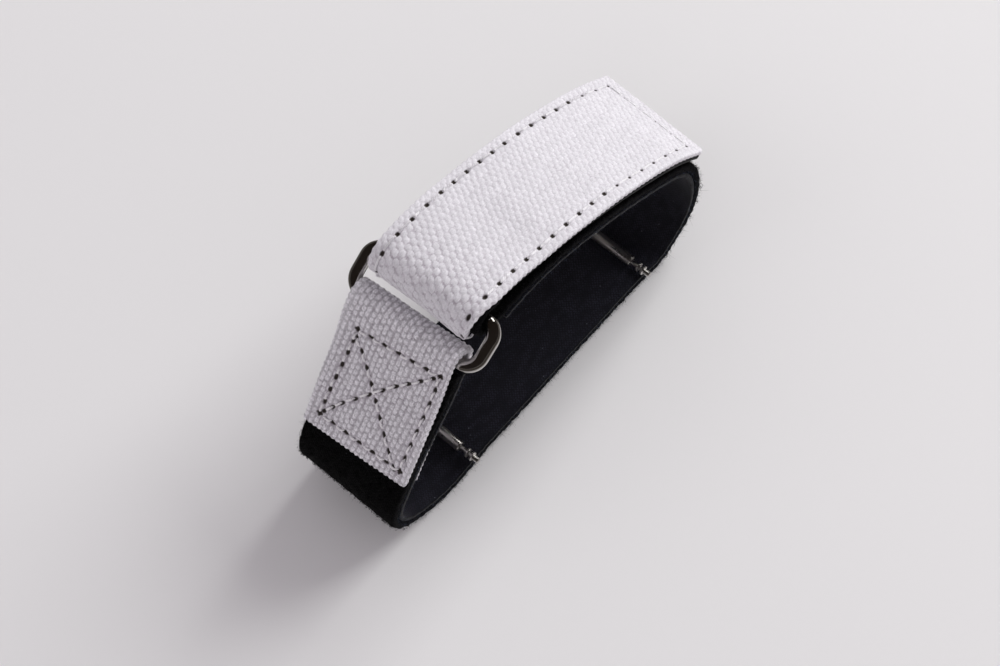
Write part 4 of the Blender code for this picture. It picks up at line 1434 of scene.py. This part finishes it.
@dataclass
class Band(Part):
    """The band: looped outer tape and woven lining."""

    width: float = 0.0200
    start: float = 0.0020
    pile_thickness: float = 0.0016
    loop_height: float = 0.00042
    loop_count: int = 4400
    loop_rings: int = 6
    loop_radius: float = 0.000035
    lining_gap: float = 0.0002
    lining_thickness: float = 0.0008
    lining_stop: float = 0.0024
    rib: Pair = (0.0008, 0.00005)
    lump: float = 0.00009
    ragged_pile: float = 0.00010
    ragged_lining: float = 0.00006

    def build(self, pile: bpy.types.Material, lining: bpy.types.Material) -> None:
        """Make the two tapes.

        Args:
            pile: the looped tape's material.
            lining: the lining's material.
        """
        end = self.marks["peel"] - 0.00015
        strip = Strip("pile_band", self.line, self.start, end, self.width, 0.0, self.pile_thickness - 0.0002,
                      (0.00045, 0.0004), 0.00045)
        data, _ = strip.cut()
        flat = places(data)
        u, v = flat[:, 0] / MM, flat[:, 1] / MM
        lump = (np.sin(2.9 * u + 1.7 * np.sin(1.3 * v)) * np.sin(3.3 * v + 1.1 * np.sin(0.9 * u))
                + 0.6 * np.sin(5.1 * u + 2.0) * np.sin(4.7 * v + 0.5))
        flat[:, 2] += np.where(flat[:, 2] > self.pile_thickness / 2, self.lump * lump, 0.0)
        flat[:, 1] += self.ragged(flat, self.ragged_pile)
        turn = self.marks["loop_end"] / MM
        drift = Drift(((turn - 14.0, 0.0), (turn, 0.3), (end / MM, 0.5)))
        item = strip.wrap(data, drift.move(flat))
        self.finish(item, pile, "pile", "band", "pile_tape")
        end = self.marks["loop_end"] - self.lining_stop
        strip = Strip("lining_band", self.line, self.start, end, self.width, -self.lining_gap - self.lining_thickness,
                      -self.lining_gap, (0.0004, 0.0005), 0.0002)
        data, _ = strip.cut()
        flat = places(data)
        rib = self.rib[1] * np.abs(np.sin(math.pi * flat[:, 0] / self.rib[0]))
        edge = np.clip((self.width / 2 - np.abs(flat[:, 1])) / (0.6 * MM), 0.0, 1.0)
        flat[:, 2] -= np.where(flat[:, 2] < (strip.low + strip.high) / 2, rib * (1 - edge), 0.0)
        flat[:, 1] += self.ragged(flat, self.ragged_lining)
        item = strip.wrap(data, flat)
        self.finish(item, lining, "lining", "band", "lining_tape")

    def ragged(self, flat: np.ndarray, most: float) -> np.ndarray:
        """Return how far a tape's rim is out of its line at flat places, by at most a given length."""
        u, w = flat[:, 0] / MM, flat[:, 2] / MM
        wave = np.sin(4.1 * u + 2.3 * np.sin(1.9 * u)) * 0.6 + np.sin(7.9 * u + 3.0 * w + 1.7 * np.sin(2.7 * u)) * 0.4
        return np.sign(flat[:, 1]) * most * wave * (np.abs(flat[:, 1]) > self.width / 2 - 0.0003)

    def raise_loops(self, name: str, side: float, end: float, rng: np.random.Generator) -> bpy.types.Object:
        """Raise the loops of one half of the outer tape.

        Args:
            name: the piece's name.
            side: -1 for the near half, 1 for the far half.
            end: where they end along the line.
            rng: the source of their places.

        Returns:
            The piece.
        """
        count, thick = self.loop_count, self.loop_radius
        mesh, which, share, angle = many_tubes(name, count, self.loop_rings)
        along = rng.uniform(self.start + 0.0005, end, count)
        across = side * rng.uniform(0.0, 1.0, count) ** 0.8 * (self.width / 2 + 0.00005)
        turn = rng.uniform(0.0, 2 * math.pi, count)
        height = rng.uniform(0.5, 1.0, count) * self.loop_height
        spread = rng.uniform(0.00015, 0.0004, count)
        arch = np.sin(math.pi * share)
        run = (share - 0.5) * 2 * spread[which] + thick * np.cos(angle) * np.cos(math.pi * share)
        wide = thick * np.sin(angle) + 0.0002 * arch * rng.uniform(-1, 1, count)[which]
        cos, sin = np.cos(turn)[which], np.sin(turn)[which]
        face = self.pile_thickness - 0.00025
        points = self.line.wrap(np.column_stack([
            along[which] + cos * run - sin * wide,
            across[which] + sin * run + cos * wide,
            face + arch * height[which] + thick * np.cos(angle) * arch,
        ]))
        points[:, 2] = np.maximum(points[:, 2], FLOOR_GAP)
        move_to(mesh, points)
        settle(mesh)
        return link(name, mesh)

    def brush(self, pile: bpy.types.Material, lint: bpy.types.Material) -> None:
        """Raise the loops of the outer tape, and the few long hairs that stand out of both tapes.

        Args:
            pile: the looped tape's material.
            lint: the loose fibres' material.
        """
        first, end = self.start + 0.0005, self.marks["peel"] - 0.0004
        rng = np.random.default_rng(5)
        for name, side in (("pile_loops_near", -1.0), ("pile_loops_far", 1.0)):
            self.finish(self.raise_loops(name, side, end, rng), pile, "pile", "band")
        hairs = Fuzz(5200, first, end, (0.0, self.pile_thickness), (0.0002, 0.0008), 0.45)
        self.finish(hairs.grow("pile_hairs", self.line, rng), pile, "pile", "band")
        hairs = Fuzz(4600, first, self.marks["loop_end"] - self.lining_stop, (-0.0010, 0.0004), (0.00015, 0.0006))
        self.finish(hairs.grow("lining_hairs", self.line, rng), lint, "lining", "band")


@dataclass
class Ring(Part):
    """The ring: an oblong of round polished wire. Slack is how far it hangs in the tab's fold, and shift across."""

    lower: np.ndarray = field(default_factory=lambda: np.zeros(2))
    wire: float = 0.0022
    length: float = 0.0260
    pitch: float = 0.0081
    corner: float = 0.0026
    tilt: float = math.radians(38.0)
    shift: float = 0.00040
    slack: Pair = (-0.00022, -0.00017)

    def build(self, steel: bpy.types.Material) -> None:
        """Bend the wire round its four corners, of a steel's material."""
        straight = self.length / 2 - self.wire / 2 - self.corner
        mesh = bmesh.new()
        circle = bmesh.ops.create_circle(mesh, cap_ends=False, segments=28, radius=self.wire / 2)
        bmesh.ops.rotate(mesh, verts=circle["verts"], matrix=Matrix.Rotation(math.pi / 2, 3, "X"), cent=(0, 0, 0))
        bmesh.ops.translate(mesh, verts=circle["verts"], vec=(self.pitch, -straight, 0.0))
        loop = list({e for v in circle["verts"] for e in v.link_edges})
        high, low = self.pitch - self.corner, self.corner
        legs = (((0.0, 2 * straight, 0.0), (high, straight)), ((low - high, 0.0, 0.0), (low, straight)),
                ((0.0, -2 * straight, 0.0), (low, -straight)), ((high - low, 0.0, 0.0), (high, -straight)))
        for leg, centre in legs:
            for _ in range(4):
                made = bmesh.ops.extrude_edge_only(mesh, edges=loop)["geom"]
                verts = [g for g in made if isinstance(g, bmesh.types.BMVert)]
                bmesh.ops.translate(mesh, verts=verts, vec=tuple(c / 4 for c in leg))
                loop = [g for g in made if isinstance(g, bmesh.types.BMEdge)]
            spun = bmesh.ops.spin(mesh, geom=loop, cent=(*centre, 0.0), axis=(0, 0, 1), dvec=(0, 0, 0),
                                  angle=math.pi / 2, steps=12, use_merge=False, use_duplicate=False)["geom_last"]
            loop = [g for g in spun if isinstance(g, bmesh.types.BMEdge)]
        bmesh.ops.remove_doubles(mesh, verts=mesh.verts, dist=0.000005)
        bmesh.ops.rotate(mesh, verts=mesh.verts, matrix=Matrix.Rotation(-self.tilt, 3, "Y"), cent=(0, 0, 0))
        where = (self.lower[0] + self.slack[0], self.shift, self.lower[1] + self.slack[1])
        bmesh.ops.translate(mesh, verts=mesh.verts, vec=where)
        data = keep("ring_wire", mesh)
        move_to(data, LEAN.move(places(data)))
        settle(data)
        self.finish(link("ring_wire", data), steel, "steel", "ring", "ring")


@dataclass
class SpringBar(Part):
    """A spring bar: a tube with rolled lips, two shouldered pins and the coil spring between them."""

    bar: Bar = Bar.LEFT
    centre: Pair = (0.0, 0.0)
    lug_width: float = 0.0200
    tube_short: float = 0.0026
    tube_radius: float = 0.0009
    tube_roll: float = 0.0002
    lip_thickness: float = 0.0004
    bore: float = 0.00065
    stem: float = 0.0004
    flange: float = 0.0008
    tip: float = 0.00045
    tip_length: float = 0.0012
    chamfer: float = 0.0001

    def turned(self, name: str, profile: list[Pair], closed: bool) -> bpy.types.Object:
        """Turn a profile of (radius, Y) about the bar.

        Args:
            name: the piece's name.
            profile: its outline.
            closed: whether the outline closes on itself.

        Returns:
            The piece.
        """
        mesh = bmesh.new()
        chain = [mesh.verts.new((radius, y, 0.0)) for radius, y in profile]
        ends = chain[1:] + chain[:1] if closed else chain[1:]
        edges = [mesh.edges.new(pair) for pair in zip(chain, ends)]
        bmesh.ops.spin(mesh, geom=chain + edges, cent=(0, 0, 0), axis=(0, 1, 0), dvec=(0, 0, 0), angle=2 * math.pi,
                       steps=40, use_merge=True, use_duplicate=False)
        bmesh.ops.remove_doubles(mesh, verts=mesh.verts, dist=0.000001)
        bmesh.ops.recalc_face_normals(mesh, faces=mesh.faces)
        sharp = [e for e in mesh.edges if e.is_manifold and e.calc_face_angle(0.0) > math.radians(50)]
        bmesh.ops.bevel(mesh, geom=sharp, offset=0.00004, offset_type="OFFSET", segments=2, profile=0.5,
                        affect="EDGES", material=-1, clamp_overlap=True)
        bmesh.ops.translate(mesh, verts=mesh.verts, vec=(self.centre[0], 0.0, self.centre[1]))
        data = keep(name, mesh)
        settle(data)
        return link(name, data)

    def build(self, steel: bpy.types.Material) -> None:
        """Turn the tube and the pins of a steel's material, and give it to the spring too."""
        letter = self.bar.value
        outer, roll, shoulder = self.tube_radius, self.tube_roll, self.lug_width / 2
        half, lip = shoulder - self.tube_short, self.stem + 0.0001
        inside = half - self.lip_thickness
        tube = [(lip, half), (outer - roll, half), (outer - 0.3 * roll, half - 0.3 * roll), (outer, half - roll),
                (outer, roll - half), (outer - 0.3 * roll, 0.3 * roll - half), (outer - roll, -half), (lip, -half),
                (lip, -inside), (self.bore, -inside), (self.bore, inside), (lip, inside)]
        piece = self.turned(f"bar_{letter}_sleeve", tube, True)
        self.finish(piece, steel, "steel", f"bar_{letter}", f"bar_{letter}_tube")
        point, head, radius = shoulder + self.tip_length, half - 0.0005, self.bore - 0.0001
        pin = [(0.0, point), (self.tip - self.chamfer, point), (self.tip, point - self.chamfer), (self.tip, shoulder),
               (self.flange, shoulder), (self.flange, shoulder - 0.0004), (self.stem, shoulder - 0.0004),
               (self.stem, shoulder - 0.0009), (self.flange, shoulder - 0.0009), (self.flange, shoulder - 0.0013),
               (self.stem, shoulder - 0.0013), (self.stem, head), (radius, head), (radius, head - 0.0011),
               (0.0, head - 0.0011)]
        for end in End:
            word = end.name.lower()
            piece = self.turned(f"bar_{letter}_plunger_{word}", [(r, y * end.value) for r, y in pin], False)
            self.finish(piece, steel, "steel", f"bar_{letter}_pin_{word}", f"bar_{letter}_pin_{word}")
        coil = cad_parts[f"bar_{letter}_spring"]
        coil.data.materials.clear()
        coil.data.materials.append(steel)


# ---------------------------------------------------------------- the studio


@dataclass(frozen=True)
class Studio:
    """A pale floor, soft light and the camera that took the photograph.

    Room is its light from the horizon and from above, and shine what steel mirrors: the floor's side, the dark
    room, the window and a pale pane behind the strap.
    """

    lens: float = 99.845
    place: Triple = (-0.121225, -0.132027, 0.412630)
    right: Triple = (0.65620715, -0.75288617, -0.05054301)
    down: Triple = (-0.70422579, -0.58698293, -0.39939589)
    forward: Triple = (0.27103175, 0.29768013, -0.91538425)
    floor_colour: Triple = (0.79, 0.785, 0.785)
    # Painted reflection: the colour that the floor shows in glossy reflections, away from the strap.
    floor_shine: Triple = (0.07, 0.06, 0.05)
    lamp_colour: Triple = (0.99, 1.0, 0.985)
    pane: Triple = (-0.148, 0.530, 0.835)
    room: tuple[Triple, Triple] = ((0.98, 0.925, 0.965), (0.37, 0.345, 0.37))
    shine: tuple[Triple, Triple, Triple, Triple] = (
        (0.40, 0.39, 0.38), (0.016, 0.012, 0.010), (7.0, 7.0, 6.8), (3.0, 2.95, 2.8),
    )

    def set_camera(self) -> None:
        """Put the camera where the photograph was taken from."""
        data = bpy.data.cameras.new("camera")
        data.lens, data.sensor_width, data.sensor_fit = self.lens, 36.0, "HORIZONTAL"
        data.clip_start, data.clip_end = 0.01, 10.0
        camera = bpy.data.objects.new("camera", data)
        turn = Matrix((self.right, -Vector(self.down), -Vector(self.forward))).transposed()
        camera.matrix_world = Matrix.Translation(self.place) @ turn.to_4x4()
        bpy.context.scene.collection.objects.link(camera)
        bpy.context.scene.camera = camera

    def lay_floor(self) -> None:
        """Lay the pale floor that the strap stands on."""
        mesh = bmesh.new()
        bmesh.ops.create_grid(mesh, x_segments=1, y_segments=1, size=3.0)
        floor = link("floor", keep("floor", mesh))
        graph = Surface("floor_laminate")
        place = graph.add("TexCoord").outputs["Object"]
        dark = tuple(0.985 * c for c in self.floor_colour)
        colour = graph.mix(graph.noise(place, 9.0), dark, self.floor_colour)
        # Painted reflection: seen in glossy reflections, the floor turns dark from 3 to 10 cm away from its middle.
        glossy = graph.add("LightPath").outputs["Is Glossy Ray"]
        painted_dark_reflection = graph.product(graph.fit(graph.vector("LENGTH", place), 0.03, 0.10), glossy)
        colour = graph.mix(painted_dark_reflection, colour, self.floor_shine)
        floor.data.materials.append(graph.close(colour, Roughness=0.55, Specular_IOR_Level=0.3))

    def lamp(self, name: str, azimuth: float, height: float, away: float, size: Pair, power: float) -> Vector:
        """Hang an area lamp, facing the strap.

        Args:
            name: its name.
            azimuth: where it hangs, in degrees from +X towards +Y.
            height: its angle above the floor, in degrees.
            away: how far away it is.
            size: its width and height.
            power: its power in watts.

        Returns:
            The unit way to it.
        """
        data = bpy.data.lights.new(name, "AREA")
        data.shape, data.size, data.size_y, data.energy = "RECTANGLE", *size, power
        data.color = self.lamp_colour
        lamp = bpy.data.objects.new(name, data)
        turn, rise = math.radians(azimuth), math.radians(height)
        way = Vector((math.cos(turn) * math.cos(rise), math.sin(turn) * math.cos(rise), math.sin(rise)))
        lamp.location = way * away
        lamp.rotation_euler = (-way).to_track_quat("-Z", "Y").to_euler()
        lamp.visible_glossy = False
        bpy.context.scene.collection.objects.link(lamp)
        return way

    def light(self) -> None:
        """Set the soft window light and the even light of the room."""
        window = self.lamp("window", -7.0, 37.0, 1.2, (0.72, 0.60), 12.2)
        self.lamp("wall", 150.0, 40.0, 1.0, (0.70, 0.70), 0.65)
        world = bpy.data.worlds.new("room")
        world.use_nodes = True
        graph = Graph(world.node_tree)
        way = graph.add("TexCoord").outputs["Generated"]
        up = graph.split(way)[2]
        colour = graph.mix(graph.fit(up, 0.0, 0.75), *self.room)
        ground, dark, bright, pane = self.shine
        shine = graph.mix(graph.fit(up, -0.10, 0.10), ground, dark)
        shine = graph.mix(graph.fit(graph.vector("DOT_PRODUCT", way, window), 0.985, 0.992), shine, bright)
        shine = graph.mix(graph.fit(graph.vector("DOT_PRODUCT", way, self.pane), 0.988, 0.994), shine, pane)
        colour = graph.mix(graph.add("LightPath").outputs["Is Glossy Ray"], colour, shine)
        background = world.node_tree.nodes["Background"]
        graph.join(colour, background.inputs[0])
        background.inputs[1].default_value = 1.0
        bpy.context.scene.world = world


def main() -> None:
    """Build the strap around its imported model, piece by piece."""
    logging.basicConfig(level=logging.INFO, format="%(name)s: %(message)s")
    bpy.context.scene.view_settings.view_transform = "Standard"
    studio = Studio()
    studio.set_camera()
    studio.lay_floor()
    studio.light()
    effects = Effects()
    course = Course()
    common = (*course.run(), effects)
    lower = course.bars()[1] + course.shift
    thread = ThreadFinish("sewing_thread", (0.84, 0.83, 0.85)).material(effects)
    # The tab's thread is a brighter copy of the same thread: painted light, so that it shows bright on the tab, which
    # lies in shade.
    tab_thread_painted_light = ThreadFinish("tab_thread_painted_light", (0.95, 0.94, 0.95)).material(effects)
    polished = SteelFinish("polished_steel", 0.05, 0.20).material()
    satin = SteelFinish("satin_steel", 0.22, 0.30).material()
    fuzz = FuzzFinish("lining_fuzz", (0.010, 0.012, 0.020), (0.13, 0.16, 0.23)).material()
    # Each tape's second colour is a painted highlight on its raised yarns.
    pile = TapeFinish("pile_black", Weave(0.6, 0.33), (0.0012, 0.0012, 0.0015), (0.0030, 0.0030, 0.0038),
                      roughness=0.95, sheen=0.008, relief=0.00015).material(effects)
    lining = TapeFinish("lining_navy", Weave(0.55, 0.30), (0.0060, 0.0062, 0.0098), (0.022, 0.022, 0.033),
                        roughness=0.7, sheen=0.08, relief=0.00004).material(effects)
    hook_tape = TapeFinish("hook_black", Weave(0.7, 0.40), (0.0030, 0.0030, 0.0035), (0.009, 0.009, 0.011),
                           roughness=0.6, sheen=0.05).material(effects)
    band = Band(*common)
    band.build(pile, lining)
    band.brush(pile, fuzz)
    tab = Tab(*common, lower=lower)
    tab.build()
    tab.sew(tab_thread_painted_light)
    tail = Tail(*common)
    tail.build()
    tail.sew(thread)
    tail.back(hook_tape)
    Ring(*common, lower=lower).build(polished)
    for bar in Bar:
        low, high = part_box(f"bar_{bar.value}_tube")
        centre = (low + high) / 2
        SpringBar(*common, bar=bar, centre=(centre.x, centre.z)).build(satin)


if __name__ == "__main__":
    main()
